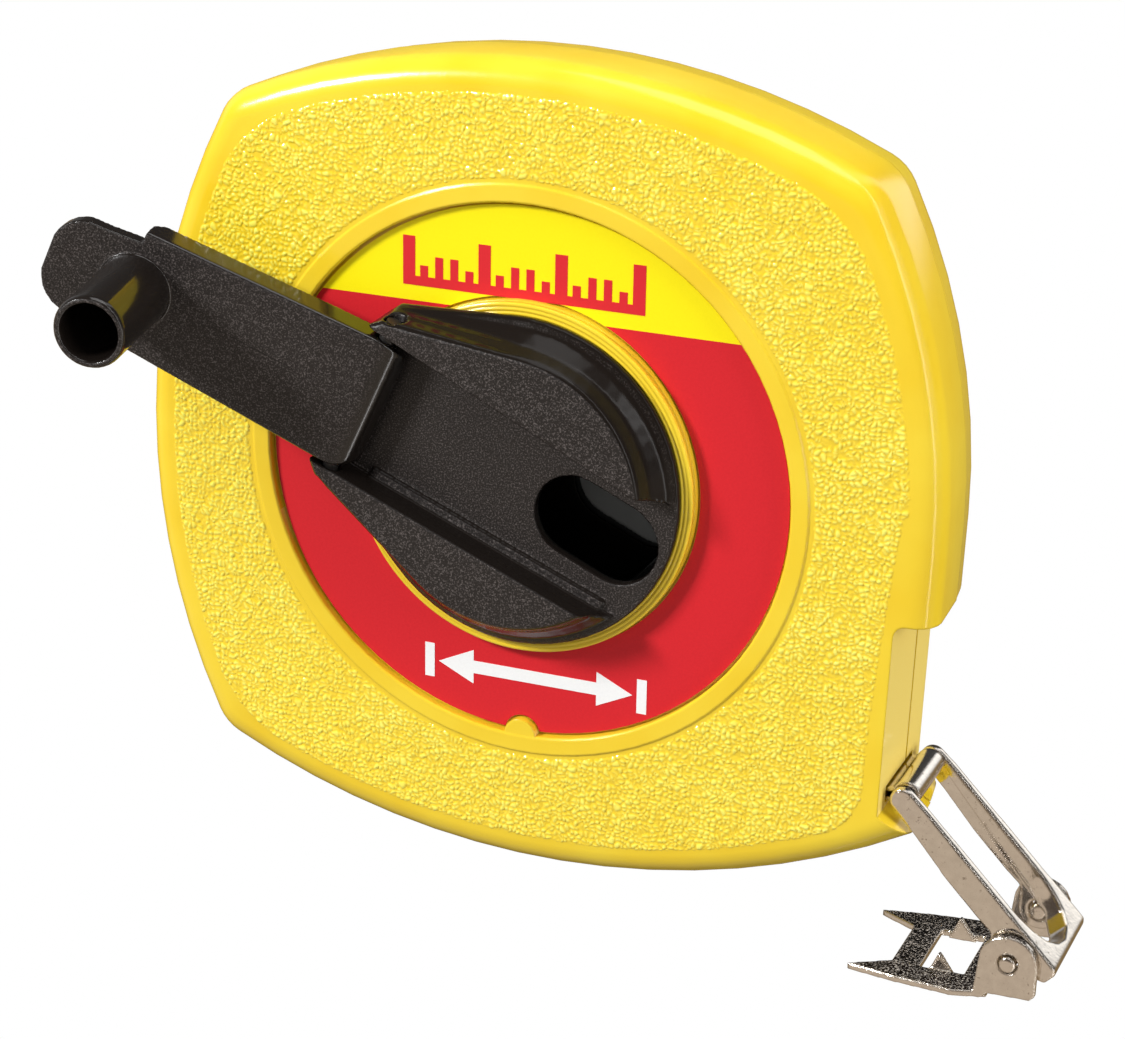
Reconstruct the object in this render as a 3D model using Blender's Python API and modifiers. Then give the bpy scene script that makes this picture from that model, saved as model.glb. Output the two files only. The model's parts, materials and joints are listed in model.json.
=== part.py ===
"""Closed-case surveyor tape reel, 15 m steel blade, folding crank and claw hook.

Frame: metres, +X to the right of the front face, +Z up, +Y from the front face to the back.
The origin is on the crank axis, at the flat outer face of the rear cover (Y = 0).
The front of the case is at Y = -CASE_DEPTH, and the crank stands further out at -Y.
"""
import math

import bmesh
import bpy

MM = 0.001
GAP = 0.3 * MM                        # clearance between pieces that meet

# Case outline in the XZ plane, about a centre just off the crank axis
CASE_CENTRE = (0.4 * MM, -0.5 * MM)
CASE_HALF_WIDTH = 52.8 * MM
CASE_HALF_HEIGHT = 52.2 * MM
LEFT_ARC_RADIUS = 91.0 * MM           # bulge of the left side
RIGHT_ARC_RADIUS = 86.0 * MM          # bulge of the right side, above the mouth
TOP_ARC_RADIUS = 98.0 * MM            # bulge of the top and bottom
STRAIGHT_SIDE_RADIUS = 2000.0 * MM    # the lower right side is almost straight
CORNER_RADIUS = 6.5 * MM
UPPER_RIGHT_CORNER_RADIUS = 7.5 * MM
LIP_CORNER_RADIUS = 1.6 * MM          # sharp lower right corner, below the mouth

# Case depths along Y
CASE_DEPTH = 18.0 * MM
PARTING_Y = -6.3 * MM                 # joint between the two covers
PANEL_Y = -17.8 * MM                  # grained front panel
RING_Y = -CASE_DEPTH                  # smooth ring around the label
LABEL_Y = -17.0 * MM
LABEL_THICKNESS = 0.2 * MM
FRONT_INNER_Y = -15.3 * MM
REAR_INNER_Y = -2.0 * MM
WALL = 2.0 * MM
RIM_INSET = 3.4 * MM                  # width of the rounded rim seen from the front
PARTING_INSET = 0.35 * MM             # draft of the side wall at the joint

# Front face features
LABEL_RADIUS = 34.5 * MM
RING_OUTER_RADIUS = 37.1 * MM
KEY_TAB_RADIUS = 2.1 * MM             # half-round tab that locates the label
BEARING_RADIUS = 22.6 * MM
BEARING_Y = -18.7 * MM
BORE_RADIUS = 20.9 * MM

# Mouth of the case, in its right side
RECESS_X = 48.3 * MM
RECESS_TOP_Z = -10.0 * MM
LIP_TOP_Z = -35.35 * MM
LIP_SLOPE = math.radians(31)
MOUTH_HEIGHT = 2.3 * MM

# Blade, coil and drum
BLADE_WIDTH = 9.53 * MM               # 3/8 inch
BLADE_THICKNESS = 0.2 * MM
BLADE_MID_Y = -9.07 * MM
COIL_RADIUS = 40.0 * MM
HUB_RADIUS = 23.2 * MM
FLANGE_RADIUS = 41.6 * MM
BOSS_RADIUS = 20.5 * MM               # crank boss inside the drum
BOSS_END_Y = -4.9 * MM

# Hook: barrel axis, bail and claw
BARREL_X, BARREL_Z = 50.8 * MM, -33.3 * MM
BARREL_RADIUS = 1.75 * MM
BARREL_LENGTH = 10.6 * MM
BAIL_ANGLE = math.radians(44.2)       # below the +X direction
BAIL_LENGTH = 28.2 * MM
BAIL_HALF_WIDTH_TOP, BAIL_HALF_WIDTH_END = 7.25 * MM, 7.6 * MM
BAIL_ROD_RADIUS = 0.95 * MM
BAIL_SHEET = 0.85 * MM                # thickness of the bail's side walls
RIVET_S, RIVET_N = 23.45 * MM, -2.03 * MM
CLAW_ANGLE = math.radians(183)
CLAW_PLATE_DROP = 4.4 * MM            # from the rivet axis to the claw's plate
CLAW_THICKNESS = 0.9 * MM
EAR_RADIUS = 3.65 * MM
EAR_INNER_Y = 7.95 * MM
EAR_DROP = 4.5 * MM                   # from the rivet axis to the ear's straight end

# Crank: s runs from the axis towards the arm, t across it, h out from the label
ARM_ANGLE = math.radians(157.5)
FLANGE_EDGE_RADIUS = 21.2 * MM
LOBE_HEIGHT = 7.5 * MM
CHANNEL_FLOOR_HEIGHT = 3.0 * MM
HINGE_S, HINGE_HEIGHT = 21.5 * MM, 5.8 * MM
HINGE_RELIEF_RADIUS = 3.3 * MM
HINGE_PIN_RADIUS = 1.0 * MM
ARM_TILT = math.radians(9)            # outer end raised off the case at rest
ARM_FACE, ARM_BACK = 1.9 * MM, 2.0 * MM
KNOB_REACH = 30.6 * MM                # hinge axis to knob axis
KNOB_RADIUS, KNOB_BORE_RADIUS = 4.6 * MM, 3.6 * MM
KNOB_LENGTH = 15.0 * MM

# Case screws: three at the corners, the fourth above the blade's path
SCREW_PLACES = [(-36 * MM, 36 * MM), (36 * MM, 36 * MM), (-36 * MM, -36.5 * MM), (40.5 * MM, -27.5 * MM)]
SCREW_RADIUS = 1.25 * MM
SCREW_HEAD_RADIUS = 2.5 * MM
POST_RADIUS = 2.9 * MM


# ---------------------------------------------------------------- scene and helpers

def clear_scene():
    for obj in list(bpy.data.objects):
        bpy.data.objects.remove(obj, do_unlink=True)


def new_collection(name):
    collection = bpy.data.collections.new(name)
    bpy.context.scene.collection.children.link(collection)
    return collection


def make_material(name, colour, roughness, metallic=0.0):
    material = bpy.data.materials.new(name)
    material.use_nodes = True
    shader = material.node_tree.nodes["Principled BSDF"]
    shader.inputs["Base Color"].default_value = (*colour, 1.0)
    shader.inputs["Roughness"].default_value = roughness
    shader.inputs["Metallic"].default_value = metallic
    return material


def add_object(name, mesh, collection, material=None, parent=None):
    obj = bpy.data.objects.new(name, mesh)
    collection.objects.link(obj)
    if material is not None:
        mesh.materials.append(material)
    obj.parent = parent
    return obj


def add_empty(name, location=(0, 0, 0), rotation=(0, 0, 0), parent=None):
    empty = bpy.data.objects.new(name, None)
    PARTS.objects.link(empty)
    empty.location = location
    empty.rotation_euler = rotation
    empty.parent = parent
    empty.empty_display_size = 0.005
    return empty


def shade(obj, angle=35):
    obj.data.shade_smooth()
    obj.data.set_sharp_from_angle(angle=math.radians(angle))
    return obj


def as_cutter(obj):
    obj.hide_render = True
    obj.display_type = "WIRE"
    return obj


def boolean(target, tool, operation):
    modifier = target.modifiers.new(operation.lower() + "_" + tool.name, "BOOLEAN")
    modifier.operation = operation
    modifier.object = tool
    modifier.solver = "EXACT"


def cut(target, tool):
    boolean(target, tool, "DIFFERENCE")


def weld(target, distance=0.002 * MM):
    modifier = target.modifiers.new("weld", "WELD")
    modifier.merge_threshold = distance


def join(target, tool):
    boolean(target, tool, "UNION")


def bevel(obj, width, segments=2, angle=40):
    modifier = obj.modifiers.new("edges", "BEVEL")
    modifier.width = width
    modifier.segments = segments
    modifier.limit_method = "ANGLE"
    modifier.angle_limit = math.radians(angle)
    modifier.use_clamp_overlap = True


def loft_mesh(name, rings):
    """Closed body through rings of equal length, capped at the first and the last."""
    bm = bmesh.new()
    loops = [[bm.verts.new(point) for point in ring] for ring in rings]
    count = len(loops[0])
    for lower, upper in zip(loops, loops[1:]):
        for i in range(count):
            j = (i + 1) % count
            bm.faces.new((lower[i], lower[j], upper[j], upper[i]))
    bm.faces.new(loops[0])
    bm.faces.new(loops[-1])
    bm.normal_update()
    bmesh.ops.recalc_face_normals(bm, faces=bm.faces)
    mesh = bpy.data.meshes.new(name)
    bm.to_mesh(mesh)
    bm.free()
    return mesh


def prism_mesh(name, outline, low, high, axis="Y"):
    """A flat outline of (x, z) points extruded along Y, or of (x, y) points along Z."""
    def place(point, level):
        u, v = point
        return (u, level, v) if axis == "Y" else (u, v, level)
    bm = bmesh.new()
    face = bm.faces.new([bm.verts.new(place(point, low)) for point in outline])
    moved = bmesh.ops.extrude_face_region(bm, geom=[face])["geom"]
    step = (0, high - low, 0) if axis == "Y" else (0, 0, high - low)
    bmesh.ops.translate(bm, vec=step, verts=[v for v in moved if isinstance(v, bmesh.types.BMVert)])
    bm.normal_update()
    bmesh.ops.recalc_face_normals(bm, faces=bm.faces)
    mesh = bpy.data.meshes.new(name)
    bm.to_mesh(mesh)
    bm.free()
    return mesh


def cylinder_mesh(name, radius, low, high, centre=(0, 0), sides=32, axis="Y", end_radius=None):
    """Cylinder or cone along Y (centre in XZ) or along Z (centre in XY)."""
    bm = bmesh.new()
    top = radius if end_radius is None else end_radius
    bmesh.ops.create_cone(bm, cap_ends=True, segments=sides, radius1=radius, radius2=top, depth=high - low)
    for vert in bm.verts:
        x, y, z = vert.co
        level = z + (low + high) / 2
        if axis == "Y":
            vert.co = (centre[0] + x, level, centre[1] + y)
        else:
            vert.co = (centre[0] + x, centre[1] + y, level)
    bm.normal_update()
    bmesh.ops.recalc_face_normals(bm, faces=bm.faces)
    mesh = bpy.data.meshes.new(name)
    bm.to_mesh(mesh)
    bm.free()
    return mesh


def turned(name, profile, material, sides=64, parent=None, collection=None, centre=(0, 0)):
    """A profile of (radius, y) points turned about the Y direction by a Screw modifier."""
    mesh = bpy.data.meshes.new(name)
    area = sum(a[0] * b[1] - b[0] * a[1] for a, b in zip(profile, profile[1:] + profile[:1]))
    if area > 0:
        profile = profile[::-1]       # one direction round the profile, so the faces point outwards
    points = [(radius, 0, y) for radius, y in profile]
    edges = [(i, i + 1) for i in range(len(points) - 1)]
    if profile[0][0] > 0:
        edges.append((len(points) - 1, 0))
    mesh.from_pydata(points, edges, [])
    obj = add_object(name, mesh, collection or PARTS, material, parent)
    obj.rotation_euler = (-math.pi / 2, 0, 0)
    obj.location = (centre[0], 0, centre[1])
    screw = obj.modifiers.new("turn", "SCREW")
    screw.axis = "Z"
    screw.angle = 2 * math.pi
    screw.steps = sides
    screw.render_steps = sides
    screw.use_merge_vertices = True
    screw.merge_threshold = 0.00005
    screw.use_smooth_shade = True
    return obj


def arc(centre, radius, start, end, steps):
    """Points on an arc, angles in degrees."""
    points = []
    for i in range(steps + 1):
        angle = math.radians(start + (end - start) * i / steps)
        points.append((centre[0] + radius * math.cos(angle), centre[1] + radius * math.sin(angle)))
    return points


def circle_crossing(centre_a, radius_a, centre_b, radius_b, near):
    """The crossing of two circles that lies closest to the point near."""
    dx, dz = centre_b[0] - centre_a[0], centre_b[1] - centre_a[1]
    distance = math.hypot(dx, dz)
    along = (radius_a ** 2 - radius_b ** 2 + distance ** 2) / (2 * distance)
    across = math.sqrt(radius_a ** 2 - along ** 2)
    ux, uz = dx / distance, dz / distance
    crossings = [(centre_a[0] + along * ux - side * across * uz, centre_a[1] + along * uz + side * across * ux)
                 for side in (1, -1)]
    return min(crossings, key=lambda p: math.hypot(p[0] - near[0], p[1] - near[1]))


def case_outline(inset):
    """The case's outline, moved inwards by inset: four bulging sides with rounded corners."""
    cx, cz = CASE_CENTRE
    w, h = CASE_HALF_WIDTH, CASE_HALF_HEIGHT
    sides = {
        "right": ((cx + w - RIGHT_ARC_RADIUS, cz), RIGHT_ARC_RADIUS),
        "top": ((cx, cz + h - TOP_ARC_RADIUS), TOP_ARC_RADIUS),
        "left": ((cx - w + LEFT_ARC_RADIUS, cz), LEFT_ARC_RADIUS),
        "bottom": ((cx, cz - h + TOP_ARC_RADIUS), TOP_ARC_RADIUS),
        "mouth": ((cx + w - STRAIGHT_SIDE_RADIUS, cz), STRAIGHT_SIDE_RADIUS),
    }
    corners = []
    for first, second, sx, sz, corner in (("right", "top", 1, 1, UPPER_RIGHT_CORNER_RADIUS), ("top", "left", -1, 1, CORNER_RADIUS),
                                          ("left", "bottom", -1, -1, CORNER_RADIUS),
                                          ("bottom", "mouth", 1, -1, LIP_CORNER_RADIUS)):
        radius = max(corner - inset, 0.8 * MM)
        (ca, ra), (cb, rb) = sides[first], sides[second]
        centre = circle_crossing(ca, ra - inset - radius, cb, rb - inset - radius, (cx + sx * w, cz + sz * h))
        angles = [math.degrees(math.atan2(centre[1] - c[1], centre[0] - c[0])) for c in (ca, cb)]
        corners.append((centre, radius, angles))
    points = []
    steps = {"top": 14, "left": 14, "bottom": 16}
    start_angle = 0.0
    (centre, radius, angles) = corners[0]
    points += arc(sides["right"][0], RIGHT_ARC_RADIUS - inset, start_angle, angles[0], 7)[:-1]
    for i, side in enumerate(("top", "left", "bottom")):
        centre, radius, angles = corners[i]
        points += arc(centre, radius, angles[0], unwrap(angles[1], angles[0]), 4)
        next_angle = corners[i + 1][2][0]
        middle, side_radius = sides[side]
        points += arc(middle, side_radius - inset, angles[1], unwrap(next_angle, angles[1]), steps[side])[1:-1]
    centre, radius, angles = corners[3]
    points += arc(centre, radius, angles[0], unwrap(angles[1], angles[0]), 4)
    middle, side_radius = sides["mouth"]
    points += arc(middle, side_radius - inset, angles[1], 0.0, 8)[1:-1]
    return points


def unwrap(angle, before):
    """The same angle, taken within half a turn of the one before it."""
    while angle - before > 180:
        angle -= 360
    while angle - before < -180:
        angle += 360
    return angle


def case_ring(inset, y):
    return [(x, y, z) for x, z in case_outline(inset)]


def rounded_steps(inset_from, y_from, inset_to, y_to, steps):
    """Quarter-ellipse of (inset, y) pairs from a flat face round to a side wall."""
    pairs = []
    for i in range(steps + 1):
        angle = math.pi / 2 * i / steps
        pairs.append((inset_from + (inset_to - inset_from) * math.sin(angle),
                      y_to + (y_from - y_to) * math.cos(angle)))
    return pairs


# ---------------------------------------------------------------- case

def blade_line():
    """Start and end of the straight blade, tangent to the coil, as (x, z), and its slope."""
    end = (BARREL_X, BARREL_Z)
    distance = math.hypot(*end)
    turn = math.atan2(end[1], end[0]) - math.acos(COIL_RADIUS / distance)
    start = (COIL_RADIUS * math.cos(turn), COIL_RADIUS * math.sin(turn))
    slope = math.atan2(end[1] - start[1], end[0] - start[0])
    return start, end, slope


def recess_cutter():
    """Everything right of the recess floor, from the recess top down to the sloping lower lip."""
    far = RECESS_X + 12 * MM
    drop = 12 * MM * math.tan(LIP_SLOPE)
    outline = [(RECESS_X, LIP_TOP_Z), (far, LIP_TOP_Z - drop), (far, RECESS_TOP_Z), (RECESS_X + 1.5 * MM, RECESS_TOP_Z)]
    outline += arc((RECESS_X + 1.5 * MM, RECESS_TOP_Z - 1.5 * MM), 1.5 * MM, 90, 180, 4)[1:]
    mesh = prism_mesh("recess_cutter", outline, -CASE_DEPTH - 2 * MM, 2 * MM)
    return as_cutter(add_object("recess_cutter", mesh, CUTTERS))


def mouth_cutter():
    start, end, slope = blade_line()
    half = MOUTH_HEIGHT / 2
    outline = [(-8 * MM, -half), (4 * MM, -half), (4 * MM, half), (-8 * MM, half)]
    side = BARREL_LENGTH / 2 + 0.35 * MM
    mesh = prism_mesh("mouth_cutter", outline, BLADE_MID_Y - side, BLADE_MID_Y + side)
    cutter = add_object("mouth_cutter", mesh, CUTTERS)
    cutter.location = (end[0], 0, end[1])
    cutter.rotation_euler = (0, -slope, 0)
    return as_cutter(cutter)


def recess_backing(name, low, high):
    """Solid behind the recess floor and inside the lower lip, for one of the covers."""
    outline = [(46.4 * MM, RECESS_TOP_Z + 2 * MM), (50.6 * MM, RECESS_TOP_Z + 2 * MM), (50.6 * MM, -37.4 * MM),
               (46.4 * MM, -38.6 * MM)]
    return as_cutter(add_object(name, prism_mesh(name, outline, low, high), CUTTERS))


def tool_cylinder(name, radius, low, high, centre=(0, 0), sides=32):
    return as_cutter(add_object(name, cylinder_mesh(name, radius, low, high, centre, sides), CUTTERS))


def dial():
    """Round middle of the front face: smooth ring, label recess and stepped bearing ring."""
    floor_y = LABEL_Y + LABEL_THICKNESS + GAP
    back = -15.8 * MM
    profile = [(BORE_RADIUS, back), (BORE_RADIUS, BEARING_Y), (21.6 * MM, BEARING_Y), (21.8 * MM, -18.3 * MM),
               (22.1 * MM, -18.3 * MM), (22.3 * MM, -17.8 * MM), (BEARING_RADIUS, -17.8 * MM), (BEARING_RADIUS, floor_y),
               (LABEL_RADIUS + 0.1 * MM, floor_y), (LABEL_RADIUS + 0.1 * MM, RING_Y + 0.2 * MM),
               (LABEL_RADIUS + 0.3 * MM, RING_Y), (RING_OUTER_RADIUS - 0.3 * MM, RING_Y),
               (RING_OUTER_RADIUS, RING_Y + 0.3 * MM), (RING_OUTER_RADIUS, -16.3 * MM), (36.4 * MM, -16.3 * MM),
               (36.4 * MM, back)]
    return turned("dial", profile, None, 80, collection=CUTTERS)


def front_cover(material, recess, mouth):
    edge = PARTING_Y - GAP / 2
    outer = [(RIM_INSET + 0.6 * MM, PANEL_Y)]
    outer += rounded_steps(RIM_INSET, PANEL_Y, 0.0, -14.2 * MM, 5)
    profile = outer + [(PARTING_INSET, edge), (WALL, edge), (WALL, FRONT_INNER_Y + 1 * MM),
                       (WALL + 1 * MM, FRONT_INNER_Y)]
    body = add_object("front_cover", loft_mesh("front_cover", [case_ring(*pair) for pair in profile]), PARTS, material)
    cut(body, tool_cylinder("dial_opening", 36.0 * MM, -20 * MM, -14 * MM, sides=80))
    join(body, as_cutter(dial()))
    join(body, tool_cylinder("key_tab", KEY_TAB_RADIUS, RING_Y + 0.1 * MM, -16.2 * MM, (1.1 * MM, -34.6 * MM), 24))
    for number, place in enumerate(SCREW_PLACES, 1):
        join(body, tool_cylinder(f"front_post_{number}", POST_RADIUS, -16.2 * MM, edge - 0.15 * MM, place, 20))
    for number, place in enumerate(SCREW_PLACES, 1):
        cut(body, tool_cylinder(f"front_pilot_{number}", SCREW_RADIUS + GAP, -13.8 * MM, 0, place, 16))
    join(body, recess_backing("front_backing", -16.2 * MM, edge - 0.1 * MM))
    cut(body, recess)
    cut(body, mouth)
    weld(body)
    return shade(body)


def rear_cover(material, recess, mouth):
    edge = PARTING_Y + GAP / 2
    outer = [(RIM_INSET + 0.6 * MM, 0.0)] + rounded_steps(RIM_INSET, 0.0, 0.9 * MM, -2.6 * MM, 4)
    profile = outer + [(PARTING_INSET + 0.1 * MM, edge), (WALL + GAP, edge), (WALL + GAP, edge - 1.4 * MM),
                       (WALL + 1.3 * MM, edge - 1.4 * MM), (WALL + 1.3 * MM, REAR_INNER_Y)]
    body = add_object("rear_cover", loft_mesh("rear_cover", [case_ring(*pair) for pair in profile]), PARTS, material)
    groove = turned("rear_groove", [(LABEL_RADIUS, 1 * MM), (LABEL_RADIUS, -0.5 * MM), (RING_OUTER_RADIUS, -0.5 * MM),
                                    (RING_OUTER_RADIUS, 1 * MM)], None, 96, collection=CUTTERS)
    cut(body, as_cutter(groove))
    boss = turned("rear_bearing", [(8.4 * MM, -1.5 * MM), (8.4 * MM, -2.75 * MM), (6.4 * MM, -2.75 * MM),
                                   (6.4 * MM, -1.5 * MM)], None, 48, collection=CUTTERS)
    join(body, as_cutter(boss))
    for number, place in enumerate(SCREW_PLACES, 1):
        join(body, tool_cylinder(f"rear_post_{number}", POST_RADIUS + 0.6 * MM, -6.0 * MM, -1.5 * MM, place, 20))
    for number, place in enumerate(SCREW_PLACES, 1):
        cut(body, tool_cylinder(f"rear_hole_{number}", SCREW_RADIUS + 2 * GAP, -7.5 * MM, -1 * MM, place, 16))
        cut(body, tool_cylinder(f"counterbore_{number}", SCREW_HEAD_RADIUS + GAP, -2.4 * MM, 1 * MM, place, 24))
    gap_mesh = prism_mesh("rim_gap", [(45.8 * MM, RECESS_TOP_Z + 2.6 * MM), (54 * MM, RECESS_TOP_Z + 2.6 * MM),
                                      (54 * MM, -42 * MM), (45.8 * MM, -42 * MM)], -9 * MM, edge)
    cut(body, as_cutter(add_object("rim_gap", gap_mesh, CUTTERS)))
    join(body, recess_backing("rear_backing", edge + 0.1 * MM, -1.4 * MM))
    cut(body, recess)
    cut(body, mouth)
    return shade(body)


def case_screw(number, place, material, slot):
    head_y = -2.1 * MM
    profile = [(0, -13.4 * MM), (0.5 * MM, -13.4 * MM), (SCREW_RADIUS, -12.2 * MM), (SCREW_RADIUS, head_y),
               (SCREW_HEAD_RADIUS, head_y), (SCREW_HEAD_RADIUS, head_y + 0.9 * MM), (1.6 * MM, head_y + 1.6 * MM),
               (0, head_y + 1.7 * MM)]
    screw = turned(f"case_screw_{number}", profile, material, 16, centre=place)
    for index in range(2):
        cross = add_object(f"cross_{number}_{index}", slot, CUTTERS)
        cross.location = (place[0], head_y + 1.35 * MM, place[1])
        cross.rotation_euler = (0, math.radians(90 * index + 20 * number), 0)
        cut(screw, as_cutter(cross))
    return screw


def slot_mesh():
    """Bar used to cut the two arms of a cross recess."""
    bm = bmesh.new()
    bmesh.ops.create_cube(bm, size=1)
    bmesh.ops.scale(bm, vec=(2.8 * MM, 1.4 * MM, 0.5 * MM), verts=bm.verts)
    mesh = bpy.data.meshes.new("cross_arm")
    bm.to_mesh(mesh)
    bm.free()
    return mesh


def label_disc(material):
    front, back = LABEL_Y, LABEL_Y + LABEL_THICKNESS
    label = turned("label_disc", [(BEARING_RADIUS + GAP, front), (BEARING_RADIUS + GAP, back),
                                  (LABEL_RADIUS - GAP, back), (LABEL_RADIUS - GAP, front)], material, 96)
    notch = tool_cylinder("label_notch", KEY_TAB_RADIUS + GAP, -18 * MM, -16 * MM, (1.1 * MM, -34.6 * MM), 24)
    cut(label, notch)
    return label


def thrust_washer(name, inner, outer, low, high, material):
    return turned(name, [(inner, low), (inner, high), (outer, high), (outer, low)], material, 48)


# ---------------------------------------------------------------- drum and blade

def drum(material):
    """Bobbin with two flanges and a cup-shaped hub that takes the crank's boss."""
    bore = BOSS_RADIUS + GAP
    low, high = BLADE_MID_Y - BLADE_WIDTH / 2 - GAP, BLADE_MID_Y + BLADE_WIDTH / 2 + GAP
    front, back = -14.8 * MM, -3.1 * MM
    profile = [(1.7 * MM, back), (1.7 * MM, BOSS_END_Y + GAP), (bore, BOSS_END_Y + GAP), (bore, front),
               (FLANGE_RADIUS, front), (FLANGE_RADIUS, low), (HUB_RADIUS, low), (HUB_RADIUS, high),
               (FLANGE_RADIUS, high), (FLANGE_RADIUS, back)]
    return turned("drum", profile, material, 64)


def drum_screw(material):
    profile = [(0, -10.5 * MM), (0.6 * MM, -10.5 * MM), (1.3 * MM, -9.6 * MM), (1.3 * MM, -2.75 * MM),
               (3.0 * MM, -2.75 * MM), (2.7 * MM, -2.35 * MM), (0, -2.3 * MM)]
    return turned("drum_screw", profile, material, 24)


def tape_coil(material):
    low, high = BLADE_MID_Y - BLADE_WIDTH / 2, BLADE_MID_Y + BLADE_WIDTH / 2
    inner, outer = HUB_RADIUS + GAP, COIL_RADIUS - 0.35 * MM
    return turned("tape_coil", [(inner, low), (inner, high), (outer, high), (outer, low)], material, 72)


def tape_blade(material):
    start, end, slope = blade_line()
    length = math.hypot(end[0] - start[0], end[1] - start[1])
    half = BLADE_THICKNESS / 2
    outline = [(-length, -half), (-BARREL_RADIUS - 1.2 * MM, -half), (-BARREL_RADIUS - 1.2 * MM, half), (-length, half)]
    mesh = prism_mesh("tape_blade", outline, -BLADE_WIDTH / 2, BLADE_WIDTH / 2)
    blade = add_object("tape_blade", mesh, PARTS, material, None)
    blade.location = (end[0], BLADE_MID_Y, end[1])
    blade.rotation_euler = (0, -slope, 0)
    return blade


def clip_axis():
    start, end, slope = blade_line()
    return add_empty("blade_end", (end[0], BLADE_MID_Y, end[1]), (0, -slope, 0))


def end_clip(material, parent):
    """Strip wrapped round the bail's rod, its two leaves gripping the end of the blade."""
    sheet = 0.45 * MM
    grip = BLADE_THICKNESS / 2 + GAP
    opening = math.degrees(math.asin((grip + sheet) / BARREL_RADIUS))
    inner_opening = math.degrees(math.asin(grip / (BARREL_RADIUS - sheet)))
    tail = -6.2 * MM
    outline = [(tail, grip + sheet)] + arc((0, 0), BARREL_RADIUS, 180 - opening, -180 + opening, 20)
    outline += [(tail, -grip - sheet), (tail, -grip)]
    outline += arc((0, 0), BARREL_RADIUS - sheet, -180 + inner_opening, 180 - inner_opening, 18) + [(tail, grip)]
    mesh = prism_mesh("end_clip", outline, -BARREL_LENGTH / 2, BARREL_LENGTH / 2)
    clip = add_object("end_clip", mesh, PARTS, material, parent)
    for number in (1, 2):
        hole = cylinder_mesh(f"clip_hole_{number}", 0.9 * MM, -3 * MM, 3 * MM, (-4.4 * MM, rivet_y(number)), 16, "Z")
        cutter = as_cutter(add_object(f"clip_hole_{number}", hole, CUTTERS, None, parent))
        cut(clip, cutter)
        cut(bpy.data.objects["tape_blade"], cutter)
    return shade(clip)


def rivet_y(number):
    return (-2.6 if number == 1 else 2.6) * MM


def clip_rivet(number, material, parent):
    half = BLADE_THICKNESS / 2 + GAP + 0.45 * MM + 0.1 * MM
    mesh = cylinder_mesh(f"clip_rivet_{number}", 0.6 * MM, -half, half, (-4.4 * MM, rivet_y(number)), 12, "Z")
    return add_object(f"clip_rivet_{number}", mesh, PARTS, material, parent)


# ---------------------------------------------------------------- hook

def bail(material, parent):
    """Stamped frame: x along the bail from the barrel axis, z across its depth."""
    top = 1.7 * MM
    profile = [(0, 1.6 * MM), (2.5 * MM, top), (BAIL_LENGTH - 0.6 * MM, top + 0.1 * MM), (BAIL_LENGTH, top - 0.5 * MM),
               (BAIL_LENGTH, -0.6 * MM), (27.0 * MM, -1.3 * MM)]
    profile += arc((RIVET_S, RIVET_N), 2.7 * MM, -8, -150, 8)
    profile += [(19.4 * MM, -1.9 * MM), (16.8 * MM, -2.05 * MM), (10.6 * MM, -2.05 * MM), (4.0 * MM, -1.6 * MM)]
    profile += arc((0, 0), 1.6 * MM, -75, -260, 8)
    mesh = prism_mesh("bail", profile, -BAIL_HALF_WIDTH_TOP, BAIL_HALF_WIDTH_TOP)
    widen = BAIL_HALF_WIDTH_END / BAIL_HALF_WIDTH_TOP - 1
    for vert in mesh.vertices:
        vert.co.y *= 1 + widen * max(vert.co.x, 0) / BAIL_LENGTH
    body = add_object("bail", mesh, PARTS, material, parent)
    half = [(-3.0, 6.0), (1.3, 6.0), (20.0, 5.8), (22.5, 5.2), (24.6, 4.1), (26.1, 2.4), (26.7, 0.0)]
    window = [(x * MM, -y * MM) for x, y in half] + [(x * MM, y * MM) for x, y in half[-2::-1]]
    cutter = add_object("bail_window", prism_mesh("bail_window", window, -9 * MM, 5 * MM, "Z"), CUTTERS, None, parent)
    cut(body, as_cutter(cutter))
    underside = [(0.8 * MM, 0.4 * MM), (1.4 * MM, 0.4 * MM), (30 * MM, -1.6 * MM), (30 * MM, -8 * MM), (0.8 * MM, -8 * MM)]
    under = prism_mesh("bail_underside", underside, -BAIL_HALF_WIDTH_TOP + BAIL_SHEET, BAIL_HALF_WIDTH_TOP - BAIL_SHEET)
    cut(body, as_cutter(add_object("bail_underside", under, CUTTERS, None, parent)))
    rod = cylinder_mesh("bail_rod", BAIL_ROD_RADIUS, -6.8 * MM, 6.8 * MM, (0, 0), 16)
    join(body, as_cutter(add_object("bail_rod", rod, CUTTERS, None, parent)))
    hole = cylinder_mesh("bail_hole", 1.3 * MM, -12 * MM, 12 * MM, (RIVET_S, RIVET_N), 16)
    cut(body, as_cutter(add_object("bail_hole", hole, CUTTERS, None, parent)))
    return shade(body)


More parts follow.
